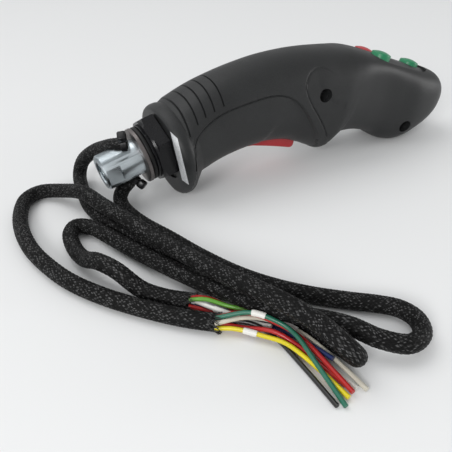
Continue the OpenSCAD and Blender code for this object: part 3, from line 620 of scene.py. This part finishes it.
g, h = gripShape["gripHalf"], gripShape["headHalf"]
gripStations = [
    (-4.6, 46.6, 2.8, 12.8, g + 2.6, 2.2, 2.3, 0), (4.6, 51, 13, 16, g + 1, 2.2, 2.4, 0),
    (14.6, 54.2, 22, 18, g + 0.3, 2.2, 2.5, 0), (26, 56.9, 30.6, 18.9, g, 2.2, 2.5, 0),
    (40, 59.1, 40.6, 19, g, 2.2, 2.5, 0), (54, 59.9, 51, 17.4, g + 0.4, 2.2, 2.5, 0),
    (66, 59.5, 60, 13.9, g + 1, 2.3, 2.5, 0), (76, 58.6, 67.6, 10, h - 0.6, 2.4, 2.2, 0),
    (83, 57.7, 72.8, 7.4, h - 0.2, 2.6, 2, 0), (89, 56.8, 76.4, 9.8, h - 0.2, 2.8, 2, 0.03),
    (95, 55.2, 80.2, 14, h - 0.2, 3, 2.2, 0.08), (101.5, 53.1, 90.5, 14.8, h - 0.4, 3.1, 2.6, 0.14),
    (110, 50, 103.4, 11.2, h - 0.6, 3.2, 2.7, 0.18), (121, 46, 112.6, 5.4, h - 0.6, 3.2, 2.8, 0.12),
    (133, 41.8, 121.6, 3.3, h - 0.6, 3.2, 2.7, 0.02), (145, 37.8, 133.2, 5.6, h - 2.2, 3, 2.4, 0),
    (151.2, 33.8, 142.6, 9.4, h - 5, 2.6, 2.3, 0), (154.6, 28.4, 149.4, 14.6, h - 9.6, 2.3, 2.2, 0),
    (156, 24, 153.8, 18.8, h - 15.6, 2, 2, 0)]


def lipStations(step):
    made = []
    for k in range(0, 145, step):
        a = math.radians(k)
        u = gripShape["lipThick"] / 2 * (1 - math.cos(a))
        inset = gripShape["lipRound"] * (1 - math.sin(a))
        palm = onAxis(u + gripShape["lipLean"][0], gripShape["lipPalm"] - 0.5 * inset)
        finger = onAxis(u + gripShape["lipLean"][1], inset - gripShape["lipReach"])
        made.append((*palm, *finger, gripShape["lipHalf"] - inset, 2.1, 1.85, 0))
    return np.array(made)


def between(stations, count):
    # stations in between, on smooth curves through the given ones
    s = np.array(stations, float)
    s = np.vstack([s[:1], s, s[-1:]])
    made = []
    for a, b, c, d in zip(s, s[1:], s[2:], s[3:]):
        made += [catmull(a, b, c, d, k / count) for k in range(count)]
    made.append(s[-1])
    return np.array(made)


def shrink(s, d):
    s = np.array(s, float)
    a, b = s[:2], s[2:4]
    step = (b - a) / np.linalg.norm(b - a) * d
    return np.array([*(a + step), *(b - step), s[4] - d, s[5], s[6], s[7]])


def section(s, angles, side):
    # one rounded section, from the palm over the side to the fingers
    middle = (s[:2] + s[2:4]) / 2
    made = []
    for a in angles:
        e, end = (s[5], s[:2]) if a >= 0 else (s[6], s[2:4])
        v = abs(math.sin(a)) ** (2 / e)
        q = middle + (end - middle) * v
        dip = 1 - s[7] * max(0.0, math.cos(a * 1.15 + math.radians(8))) ** 2
        y = s[4] * max(0.0, math.cos(a)) ** (2 / e) * dip
        made.append((q[0], side * (y + 0.02), q[1]))
    return made


def buildShellSkin(name, side):
    count = 46
    angles = [math.pi / 2 * (1 - k / count) for k in range(2 * count + 1)]
    lip = lipStations(12)
    body = between(gripStations, 9)
    outer = np.vstack([lip, body])
    room = shrink(body[0], gripShape["wall"])
    inner = []
    for k in range(len(outer)):
        if k < len(lip):
            u = gripShape["floor"] + gripShape["floorSpan"] * k / len(lip)
            inner.append(np.array([*onAxis(u, offAxis(room[:2]) - 0.6), *onAxis(u, offAxis(room[2:4]) + 0.3),
                                   room[4] - 0.5, room[5], room[6], 0]))
        else:
            s = shrink(outer[k], gripShape["wall"] * (0.7 if k == len(outer) - 1 else 1))
            late = (k + gripShape["noseRings"] + 1 - len(outer)) / gripShape["noseRings"]
            back = gripShape["wall"] * max(0.0, late)
            s[0] -= back
            s[2] -= back
            inner.append(s)
    rings = []
    for a, b in zip(outer, inner):
        ring = [placed(p) for p in section(a, angles, side)]
        ring += [placed(p) for p in reversed(section(b, angles, side))]
        rings.append(ring)
    bm = bmesh.new()
    skin = bm.verts.layers.int.new("outside")
    made = growRings(bm, rings, closeEnds=False)
    n = len(angles)
    for ring in made:
        for v in ring[:n]:
            v[skin] = 1
    for ring in (made[0], made[-1]):
        bm.faces.new(ring[:n])
        bm.faces.new(ring[n:])
        bm.faces.new((ring[0], ring[n - 1], ring[n], ring[2 * n - 1]))
    bmesh.ops.recalc_face_normals(bm, faces=bm.faces)
    return bm, skin


# Lines on the sides of the grip, in x and z
sideLines = {
    "panel": [(-4.8, 22), (-4.7, 27.2), (-4.2, 31.2), (-2.2, 34.8), (1.3, 37.7), (6.3, 40.3), (12.5, 42.5),
              (20.1, 43.9), (27.8, 44.9), (34.5, 45.5), (40.7, 45.1), (45.9, 43.4), (50.3, 40.4),
              (53.9, 36.4), (57.9, 30.6), (62.4, 23.6), (66.5, 17)],
    "pad": [(70.6, 19), (67.7, 23.9), (62.8, 31.4), (58.1, 38.6), (55.6, 44.6), (55.9, 48.5), (58.7, 51.9),
            (62.6, 53.4), (65.8, 53.1), (69.6, 51.3), (74, 48)],
}
# The panel's step deepens late along its line, and the pad's step fades out towards its line's end.
sideRelief = {"panelDepth": (0.55, 1.5), "panelWidth": (0.7, 2.2), "panelLate": (0.55, 0.25), "panelEnd": 70,
              "padDepth": 0.45, "padWidth": 0.6, "padFade": (0.72, 0.25), "padEnd": (86, 12),
              "lineDepth": 0.525, "lineWidth": 0.562}


def lineTable(points, step=0.6):
    line = throughPoints([(x, 0, z) for x, z in points], step)
    return np.array([(p.x, p.z) for p in line])


def signedDistance(line, x, z):
    # distance to the line, positive on its right-hand side
    a, b = line[:-1], line[1:]
    ab = b - a
    p = np.array((x, z))
    t = np.clip(((p - a) * ab).sum(1) / (ab * ab).sum(1), 0, 1)
    gap = p - (a + ab * t[:, None])
    d = np.hypot(gap[:, 0], gap[:, 1])
    k = int(d.argmin())
    cross = ab[k][0] * (p[1] - a[k][1]) - ab[k][1] * (p[0] - a[k][0])
    return (d[k] if cross < 0 else -d[k]), k / len(a)


def smoothStep(t):
    t = min(1.0, max(0.0, t))
    return t * t * (3 - 2 * t)


def mixValue(pair, t):
    return pair[0] + (pair[1] - pair[0]) * t


def carveSides(bm, skin):
    relief = sideRelief
    panel, pad = lineTable(sideLines["panel"]), lineTable(sideLines["pad"])

    def nearLines(v):
        if not v[skin]:
            return False
        p = v.co / mm - handleOffset
        if abs(p.y) < 6 or not -8 < p.x < 80:
            return False
        return min(abs(signedDistance(panel, p.x, p.z)[0]), abs(signedDistance(pad, p.x, p.z)[0])) < 2.0

    marked = {v for v in bm.verts if nearLines(v)}
    edges = [e for e in bm.edges if e.verts[0] in marked and e.verts[1] in marked]
    bmesh.ops.subdivide_edges(bm, edges=edges, cuts=2, use_grid_fill=True)
    for v in bm.verts:
        p = v.co / mm - handleOffset
        if not v[skin] or abs(p.y) < 3 or not -9 < p.x < 84:
            continue
        depth = 0.0
        d, along = signedDistance(panel, p.x, p.z)
        start, length = relief["panelLate"]
        late = smoothStep((along - start) / length)
        if d > -3 and p.x < relief["panelEnd"]:
            width = mixValue(relief["panelWidth"], late)
            depth += mixValue(relief["panelDepth"], late) * smoothStep(0.5 + d / width)
        q, part = signedDistance(pad, p.x, p.z)
        start, length = relief["padFade"]
        fade = 1 - smoothStep((part - start) / length)
        end, length = relief["padEnd"]
        depth += (relief["padDepth"] * fade * smoothStep(0.5 + q / relief["padWidth"])
                  * smoothStep((end - p.x) / length))
        for gap, keep in ((d, 1.0), (q, fade)):
            depth += relief["lineDepth"] * keep * max(0.0, 1 - (gap / relief["lineWidth"]) ** 2)
        v.co.y *= 1 - depth / gripShape["gripHalf"]


screwSpots = [((66, 41.1), g - 0.2), ((122, 13.6), h - 2.6)]
# diameters, with the distance of the head's seat from the split and the depth of the insert's hole
screwShape = {"hole": 6.5, "seat": 8.0, "boss": 9.4, "shank": 3.9, "insert": 5.0, "depth": 11.0}
facePlace = {"at": (120.5, 45.8), "slope": 20.6}
plateShape = {"length": 48.5, "width": 25.0, "thick": 4.2, "gap": 0.2, "crown": 28.0, "top": 0.2}
capShape = {"diameter": 10.0, "dome": 1.2, "gap": 0.1, "skirt": 10.6}
# each place on the plate, and how far the cap stands out of it
capSpots = {"button_near": (-13, -6.2, 1.2), "button_far": (-13, 6.2, 0.2), "button_front": (15.5, 0, 1.6)}
grooveShape = {"places": [(-5.2, 36.4), (-0.7, 39.9), (3.6, 42.4), (8.1, 43.9), (12.8, 44.9)],
               "width": 0.75, "depth": 0.7}
barSlot = {"ends": (26, 62), "width": 10.2}
stackShape = {"nut": 7.0, "nutRing": 1.2, "seal": 2.2, "washer": 2.0, "ring": 25.0, "nutFlats": 27.0,
              "collar": 22.0, "collarGap": 0.3}

faceMatrix = (Matrix.Translation(placed((facePlace["at"][0], 0, facePlace["at"][1])))
              @ Matrix.Rotation(math.radians(facePlace["slope"]), 4, "Y"))


def capPlace(x, y):
    return faceMatrix @ Matrix.Translation((x * mm, y * mm, 0))


def axisMatrix(u):
    return Matrix.Translation(placed(axisPoint(u))) @ frameAlong((cs, 0, sn))


def stadium(length, width, count=28):
    r, half = width / 2, (length - width) / 2
    turns = [math.pi * k / count - math.pi / 2 for k in range(count + 1)]
    return ([(half + r * math.cos(a), r * math.sin(a)) for a in turns]
            + [(-half - r * math.cos(a), -r * math.sin(a)) for a in turns])


def grooveCutter(x, low, side):
    # a thin band that follows the section of the grip at x, from the palm's ridge down its side
    body = np.vstack([lipStations(12), between(gripStations, 24)])
    angles = [math.radians(a) for a in range(92, -1, -4)]
    points = np.array([section(s, angles, side) for s in body])
    line = []
    for j in range(points.shape[1]):
        xs, ys, zs = points[:, j, 0], points[:, j, 1], points[:, j, 2]
        line.append(Vector((x, float(np.interp(x, xs, ys)), float(np.interp(x, xs, zs)))))
    line = [p for p in line if p.z >= low - 0.5]
    line[-1].z = max(line[-1].z, low)
    bm = bmesh.new()
    rings = []
    middle = Vector((x, 0, 33))
    w, d = grooveShape["width"] / 2, grooveShape["depth"]
    outline = ((-w, 1.2), (-w, -d * 0.5), (-w * 0.4, -d), (w * 0.4, -d), (w, -d * 0.5), (w, 1.2))
    for k, p in enumerate(line):
        ahead = (line[min(k + 1, len(line) - 1)] - line[max(k - 1, 0)]).normalized()
        out = ahead.cross(Vector((1, 0, 0))).normalized()
        if out.dot(p - middle) < 0:
            out.negate()
        rings.append([placed(p + Vector((a, 0, 0)) + out * b) for a, b in outline])
    growRings(bm, rings)
    return makePiece("groove", bm)


def joinTools(tools):
    # tools that don't touch each other cut as one
    bm = bmesh.new()
    for tool in tools:
        bm.from_mesh(tool.data)
        bpy.data.objects.remove(tool)
    return makePiece("tools", bm)


def buildShell(name, side, node):
    bm, skin = buildShellSkin(name, side)
    carveSides(bm, skin)
    piece = makePiece(name, bm)
    for (x, z), reach in screwSpots:
        boss = rod("boss", (x, side * 0.2, z), (x, side * (reach - 1.2), z), screwShape["boss"])
        combine(piece, boss, "UNION")
    holeSize = stackShape["collar"] + stackShape["collarGap"]
    collarHole = rod("collarHole", axisPoint(-3), axisPoint(9), holeSize, 72)
    pocket = extrudeOutline("pocket", stadium(plateShape["length"], plateShape["width"]), faceMatrix, -12, 5)
    half = barSlot["width"] / 2
    slot = extrudeOutline("slot", rectangle(*barSlot["ends"], -half, half),
                          Matrix.Translation(handleOffset * mm), 0, 24)
    across = stackShape["nutFlats"] / math.cos(math.pi / 6) + 1
    for tool in (collarHole, drum("spotFace", across, -4, 0, axisMatrix(0), 72), pocket, slot):
        combine(piece, tool)
    for (x, z), _ in screwSpots:
        if side < 0:
            combine(piece, rod("head", (x, -30, z), (x, -screwShape["seat"], z), screwShape["hole"]))
            combine(piece, rod("shank", (x, -13, z), (x, 5, z), screwShape["shank"]))
        else:
            combine(piece, rod("insert", (x, -1, z), (x, screwShape["depth"], z), screwShape["insert"]))
    combine(piece, joinTools([grooveCutter(x, low, side) for x, low in grooveShape["places"]]))
    return finishPiece(piece, gripPlastic, "grip", node=node, angle=38)


shellNear = buildShell("shellNear", -1, "shell_near")
buildShell("shellFar", 1, "shell_far")
print("shells built")

barShape = {"diameter": 16.0, "out": 17.5, "inside": 14.0, "bore": 8.5, "thread": 8.5, "threadLength": 6.0,
            "threadPitch": 1.0, "chamfer": 0.7, "scoop": 6.0, "scoopDepth": 3.4, "scoopFromWasher": 7.4,
            "exit": 7.2, "flat": 14.2, "flatFrom": 1.0, "flatLength": 6.2}
stackLength = stackShape["nut"] + stackShape["nutRing"] + stackShape["seal"] + stackShape["washer"]
barEnd = stackLength + barShape["out"]


def buildBar():
    b = barShape
    r, c, bore, t = b["diameter"] / 2, b["chamfer"], b["bore"] / 2, b["thread"] / 2
    length = barEnd + b["inside"]
    start = b["out"] - b["scoopFromWasher"]
    threads = []
    pitch = b["threadPitch"]
    for k in range(int(b["threadLength"] / pitch) - 1):
        z = 0.5 + pitch * (k + 1)
        threads += [(t + 0.35, z - 0.2), (t, z + 0.3)]
    profile = [(t + 0.7, 0), (r - c, 0), (r, c), (r, length - 0.5), (r - 0.5, length), (bore, length),
               (bore, start), (0, start), (0, b["threadLength"]), (t, b["threadLength"])]
    place = axisMatrix(-barEnd)
    bar = lathe("adapterBar", profile + threads[::-1] + [(t, 0.6)], place, 96)
    # a scoop on top, long enough for a sleeve to lie down in, and a round exit underneath
    low, high = r - b["scoopDepth"], r + 6
    bite = [(start, low), (2.0, low + 1.2), (-4, low + 1.6), (-4, high), (start + b["scoop"], high)]
    bite += [(start + b["scoop"] * math.sin(a), low + b["scoop"] * (1 - math.cos(a)))
             for a in (math.radians(k) for k in range(90, 0, -6))]
    side = Matrix(((0, -1, 0, 0), (0, 0, 1, 0), (1, 0, 0, 0), (0, 0, 0, 1)))
    combine(bar, extrudeOutline("scoop", bite, place @ side, -12, 12))
    down = place @ Matrix.Translation((0, 0, start * mm)) @ Matrix.Rotation(math.pi / 2, 4, "Y")
    combine(bar, drum("exit", b["exit"], 0, 12, down, 48))
    for s in (-1, 1):
        edge = sorted((s * b["flat"] / 2, s * 20))
        combine(bar, extrudeOutline("flat", rectangle(-20, 20, *edge), place,
                                    b["flatFrom"], b["flatFrom"] + b["flatLength"]))
    bevelEdges(bar, 0.18, 2, 25)
    finishPiece(bar, zincSteel, "grip", node="adapter", angle=30)


def buildRings():
    s = stackShape
    bore, outer, thick = barShape["diameter"] / 2 + 0.05, s["ring"] / 2, s["washer"]
    profile = [(bore, 0), (outer - 0.3, 0), (outer, 0.3),
               (outer, thick - 0.3), (outer - 0.3, thick), (bore, thick)]
    washer = lathe("washer", profile, axisMatrix(-stackLength), 96)
    finishPiece(washer, washerSteel, "grip", node="washer", angle=30)
    profile = [(bore, 0), (outer - 1.0, 0), (outer - 0.4, 0.25), (outer - 0.2, 0.7),
               (outer - 0.2, 1.5), (outer - 0.4, 1.95), (outer - 1.0, 2.2), (bore, 2.2)]
    seal = lathe("sealRing", profile, axisMatrix(-stackLength + thick), 96)
    finishPiece(seal, sealRubber, "grip", node="seal_ring", angle=50)


def buildNut():
    # a hexagon chamfered at its outer end, on a thin turned ring
    flats, thick, ring = stackShape["nutFlats"], stackShape["nut"], stackShape["nutRing"]
    place = axisMatrix(-thick - ring)
    corner = flats / 2 / math.cos(math.pi / 6) * mm
    bm = bmesh.new()
    bmesh.ops.create_cone(bm, cap_ends=True, segments=6, radius1=corner, radius2=corner, depth=thick * mm)
    bmesh.ops.translate(bm, verts=bm.verts, vec=(0, 0, (ring + thick / 2) * mm))
    bmesh.ops.rotate(bm, verts=bm.verts, matrix=Matrix.Rotation(math.radians(30), 3, "Z"))
    bmesh.ops.transform(bm, matrix=place, verts=bm.verts)
    nut = makePiece("hexNut", bm)
    top, edge, far = flats / 2 + 0.3, flats / 2 - 1.0, ring + thick
    chamfer = [(0, 0), (flats / 2 - 0.2, 0), (top, ring), (top + 0.4, ring + 1.0), (flats, far),
               (flats, far + 4), (0, far + 4)]
    combine(nut, lathe("chamfer", chamfer, place, 96), "INTERSECT")
    collar = [(0, 0), (edge - 0.2, 0), (edge, 0.2), (edge, ring + 0.3), (0, ring + 0.3)]
    combine(nut, lathe("nutRing", collar, place, 96), "UNION")
    combine(nut, drum("nutBore", stackShape["collar"] + 0.02, -1, 20, place, 96))
    bevelEdges(nut, 0.3, 3, 25)
    finishPiece(nut, nutCoating, "grip", node="hex_nut", angle=30)


buildBar()
buildRings()
buildNut()
print("adapter built")

labelShape = {"corners": [(-12.4, -14.3, 38.8), (-10.8, -17.5, 36.7),
                          (-6.9, -18.6, 14.4), (-7.5, -13.4, 14.4)],
              "along": 36, "across": 8, "thick": 0.12, "sunk": 0.05}


def buildLabel(shell):
    # a thin sheet that follows the hand rest: a grid between its corners, moved along the view onto the face
    mesh = shell.data
    tree = BVHTree.FromPolygons([v.co for v in mesh.vertices], [p.vertices for p in mesh.polygons])
    a, b, c, d = (placed(p) for p in labelShape["corners"])
    axis = Vector((cs, 0, sn))
    eye = Vector(cameraSetup["place"]) * mm
    rows = []
    for k in range(labelShape["along"] + 1):
        u = k / labelShape["along"]
        row = []
        for j in range(labelShape["across"] + 1):
            p = a.lerp(d, u).lerp(b.lerp(c, u), j / labelShape["across"])
            row.append(tree.ray_cast(eye, (p - eye).normalized())[0])
        rows.append(row)
    bm = bmesh.new()
    sheets = []
    for lift in (labelShape["thick"] * mm, -labelShape["sunk"] * mm):
        sheets.append([[bm.verts.new(p - axis * lift) for p in row] for row in rows])
    count, wide = labelShape["along"], labelShape["across"]
    for sheet in sheets:
        for k in range(count):
            for j in range(wide):
                bm.faces.new([sheet[k][j], sheet[k][j + 1], sheet[k + 1][j + 1], sheet[k + 1][j]])
    rim = ([(0, j) for j in range(wide)] + [(k, wide) for k in range(count)]
           + [(count, j) for j in range(wide, 0, -1)] + [(k, 0) for k in range(count, 0, -1)])
    for (k, j), (n, m) in zip(rim, rim[1:] + rim[:1]):
        bm.faces.new([sheets[0][k][j], sheets[0][n][m], sheets[1][n][m], sheets[1][k][j]])
    bmesh.ops.recalc_face_normals(bm, faces=bm.faces)
    finishPiece(makePiece("blankLabel", bm), labelFoil, "grip", angle=40)


buildLabel(shellNear)


def buildPlate():
    p = plateShape
    plate = extrudeOutline("buttonPlate", stadium(p["length"] - 2 * p["gap"], p["width"] - 2 * p["gap"]),
                           faceMatrix, -p["thick"], 2)
    lying = (faceMatrix @ Matrix.Translation((-50 * mm, 0, (p["top"] - p["crown"]) * mm))
             @ Matrix.Rotation(math.pi / 2, 4, "Y"))
    combine(plate, drum("crown", 2 * p["crown"], 0, 100, lying, 192), "INTERSECT")
    holeSize = capShape["diameter"] + 2 * capShape["gap"]
    for x, y, _ in capSpots.values():
        combine(plate, drum("capHole", holeSize, -12, 8, capPlace(x, y), 72))
    bevelEdges(plate, 0.25, 2, 35)
    finishPiece(plate, platePlastic, "grip", node="button_plate", angle=35)


def capProfile(out):
    r, edge, ball = capShape["diameter"] / 2, 0.7, 12.0
    top = out + capShape["dome"]
    low = -plateShape["thick"] - 1.1
    arc = [math.asin((r - edge) / ball) * k / 8 for k in range(9)]
    dome = [(ball * math.sin(a), top - ball * (1 - math.cos(a))) for a in arc]
    height = dome[-1][1]
    roll = [(r - edge + edge * math.sin(t), height - edge * (1 - math.cos(t))) for t in (0.52, 0.96, 1.57)]
    skirt = capShape["skirt"] / 2
    return dome + roll + [(r, low + 1), (skirt, low + 1), (skirt, low), (1.5, low), (1.5, -12), (0, -12)]


def buildButtons():
    for node, (x, y, out) in capSpots.items():
        name = "cap" + node.split("_")[1].capitalize()
        cap = lathe(name, capProfile(out)[::-1], capPlace(x, y), 72)
        red = node == "button_far"
        finishPiece(cap, redPlastic if red else greenPlastic, node, node=node,
                    angle=45)


buildPlate()
buildButtons()
print("buttons built")

triggerShape = {
    "outline": [(28.2, 18), (35, 17.4), (43, 15.4), (51, 13.2), (55.6, 11.8), (57.2, 11.4), (58.7, 12),
                (59.4, 13.6), (59.4, 15.4), (57.5, 18.6), (49, 19.8), (38, 21.4), (35, 25.6), (28.6, 25.4),
                (27.4, 21)],
    "width": 9.0, "hinge": (31.5, 22.4), "hingeHole": 3.1, "spring": (42, 18.3), "springHole": 6.0}


def buildTrigger():
    t = triggerShape
    place = Matrix.Translation(handleOffset * mm) @ Matrix.Rotation(math.pi / 2, 4, "X")
    bar = extrudeOutline("deadmanBar", t["outline"], place, -t["width"] / 2, t["width"] / 2)
    bevelEdges(bar, 0.9, 4, 20)
    x, z = t["hinge"]
    combine(bar, rod("hingeHole", (x, -8, z), (x, 8, z), t["hingeHole"]))
    x, z = t["spring"]
    combine(bar, rod("springHole", (x, 0, z), (x, 0, z + 10), t["springHole"]))
    finishPiece(bar, redPlastic, "deadman", node="deadman_bar", angle=35)


buildTrigger()
print("dead-man bar built")

# for each tie, how far along its sleeve it sits and how far its head is turned, in degrees
tieShape = {"thick": 0.9, "wide": 2.6, "head": (4.4, 3.8, 3.8), "A": (1.5, 150), "B": (1.6, 35)}


def buildTies():
    t = tieShape
    for letter in "AB":
        inset, turnBy = t[letter]
        a, b = (Vector(p) for p in sleeveRoutes["sleeve" + letter][:2])
        v = (b - a).normalized()
        turn = (Matrix.Rotation(math.atan2(v.y, v.x), 4, "Z") @ Matrix.Rotation(math.acos(v.z), 4, "Y")
                @ Matrix.Rotation(math.radians(turnBy), 4, "Z"))
        place = Matrix.Translation((a + v * inset) * mm) @ turn
        r = sleeveShape["diameter"] / 2 + 0.05
        w = t["wide"] / 2
        top = r + t["thick"]
        profile = [(r, -w), (top - 0.2, -w), (top, -w + 0.2), (top, w - 0.2), (top - 0.2, w), (r, w)]
        band = lathe("band", profile, place, 56)
        long, wide, high = t["head"]
        outline = rectangle(r + 0.2, r + high, -long / 2, long / 2)
        head = extrudeOutline("head", outline, place, -wide / 2, wide / 2)
        bevelEdges(head, 0.9, 3, 30)
        combine(band, head, "UNION")
        combine(band, drum("clear", 2 * r, -8, 8, place, 56))
        finishPiece(band, tieNylon, "grip", node="tie_" + letter.lower(), angle=35)


# for each marker its wire, the stretch of the route it sits on, and where in it it starts and stops
markerSpots = [("wireYellow", 1, 0.25, 0.75), ("wireGreen", 1, 0.1, 0.6), ("wireCream", 2, 0.3, 0.8),
               ("wireWhiteB", 1, 0.1, 0.8)]
markerShape = {"bore": 0.84, "radius": 1.1, "end": 1.05, "around": 20, "step": 0.5}


def buildMarkers():
    around = markerShape["around"]
    bm = bmesh.new()
    for wire, k, start, stop in markerSpots:
        route = wireRoutes[wire][2]
        line = throughPoints(route, markerShape["step"])
        a, b = Vector(route[k]), Vector(route[k + 1])
        low, high = a + (b - a) * start, a + (b - a) * stop
        first = min(range(len(line)), key=lambda i: (line[i] - low).length)
        last = min(range(len(line)), key=lambda i: (line[i] - high).length)
        stretch = line[first:last + 1]
        row = ringFrames(stretch)
        rings = []
        for i, ring in enumerate(row):
            radius = markerShape["end"] if i in (0, len(row) - 1) else markerShape["radius"]
            rings.append(circleRing(*ring, radius, around))
        rings += [circleRing(*ring, markerShape["bore"], around) for ring in row[::-1]]
        made = growRings(bm, rings, closeEnds=False)
        ends = [bm.edges.get((ring[j], ring[(j + 1) % around])) for ring in (made[0], made[-1])
                for j in range(around)]
        bmesh.ops.bridge_loops(bm, edges=ends)
    bmesh.ops.recalc_face_normals(bm, faces=bm.faces)
    finishPiece(makePiece("wireMarkers", bm), markerWhite, "grip", node="wire_markers",
                angle=40)


buildTies()
buildMarkers()
print("ties and markers built")

# The inner pieces keep their own shape and take only a finish.
innerFinish = {
    "shell_screws": springSteel, "screw_inserts": brassInsert, "switch_near": blackPlastic,
    "switch_far": blackPlastic, "switch_front": blackPlastic,
    "spring_near": springSteel, "spring_far": springSteel, "spring_front": springSteel,
    "deadman_pin": springSteel, "deadman_spring": springSteel, "deadman_switch": blackPlastic,
    "inner_loom": cordBlack, "collar": nutCoating, "lock_pin": springSteel}
for node, material in innerFinish.items():
    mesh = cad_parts[node].data
    mesh.materials.clear()
    mesh.materials.append(material)

stage = {"floor": (0.80, 0.805, 0.805), "size": 6.0, "bright": (0.88, 0.89, 0.9), "dim": (0.5, 0.5, 0.5),
         "towards": (-0.5, 0.35, 0.6), "strength": 0.82}
lamps = [
    # name, place, size, watts, aim
    ("overhead", (-0.35, 0.4, 1.0), 0.9, 3.0, (0, 0, 0.02)),
    ("leftFront", (-0.75, -0.6, 0.45), 0.3, 4.5, (0, 0, 0.02)),
    ("rightFront", (0.95, -0.45, 0.2), 0.5, 3.0, (0.05, 0, 0.02)),
]


def buildStage():
    bm = bmesh.new()
    bmesh.ops.create_grid(bm, x_segments=1, y_segments=1, size=stage["size"] / 2)
    floor = makePiece("floor", bm)
    material, _, shader = makeMaterial("floorPaper")
    setInputs(shader, {"Base Color": (*stage["floor"], 1), "Roughness": 0.8, "Specular IOR Level": 0.2})
    floor.data.materials.append(material)
    world = bpy.data.worlds.new("room")
    scene.world = world
    world.use_nodes = True
    tree = world.node_tree
    where = addNode(tree, "ShaderNodeTexCoord")
    facing = addNode(tree, "ShaderNodeVectorMath", operation="DOT_PRODUCT",
                     in_1=Vector(stage["towards"]).normalized())
    blend = addNode(tree, "ShaderNodeMapRange", in_1=-0.6, in_2=0.9)
    shade = addNode(tree, "ShaderNodeMix", data_type="RGBA")
    setInputs(shade, {"A": (*stage["dim"], 1), "B": (*stage["bright"], 1)})
    tree.links.new(where.outputs["Generated"], facing.inputs[0])
    tree.links.new(facing.outputs["Value"], blend.inputs[0])
    tree.links.new(blend.outputs[0], shade.inputs["Factor"])
    shades = [socket for socket in shade.outputs if socket.type == "RGBA"]
    tree.links.new(shades[0], tree.nodes["Background"].inputs[0])
    tree.nodes["Background"].inputs[1].default_value = stage["strength"]
    for name, place, size, watts, aim in lamps:
        light = bpy.data.lights.new(name, "AREA")
        light.shape = "DISK"
        light.size = size
        light.energy = watts
        lamp = bpy.data.objects.new(name, light)
        lamp.location = place
        lamp.rotation_mode = "QUATERNION"
        lamp.rotation_quaternion = (Vector(aim) - Vector(place)).to_track_quat("-Z", "Y")
        scene.collection.objects.link(lamp)


buildStage()
print("stage lit")
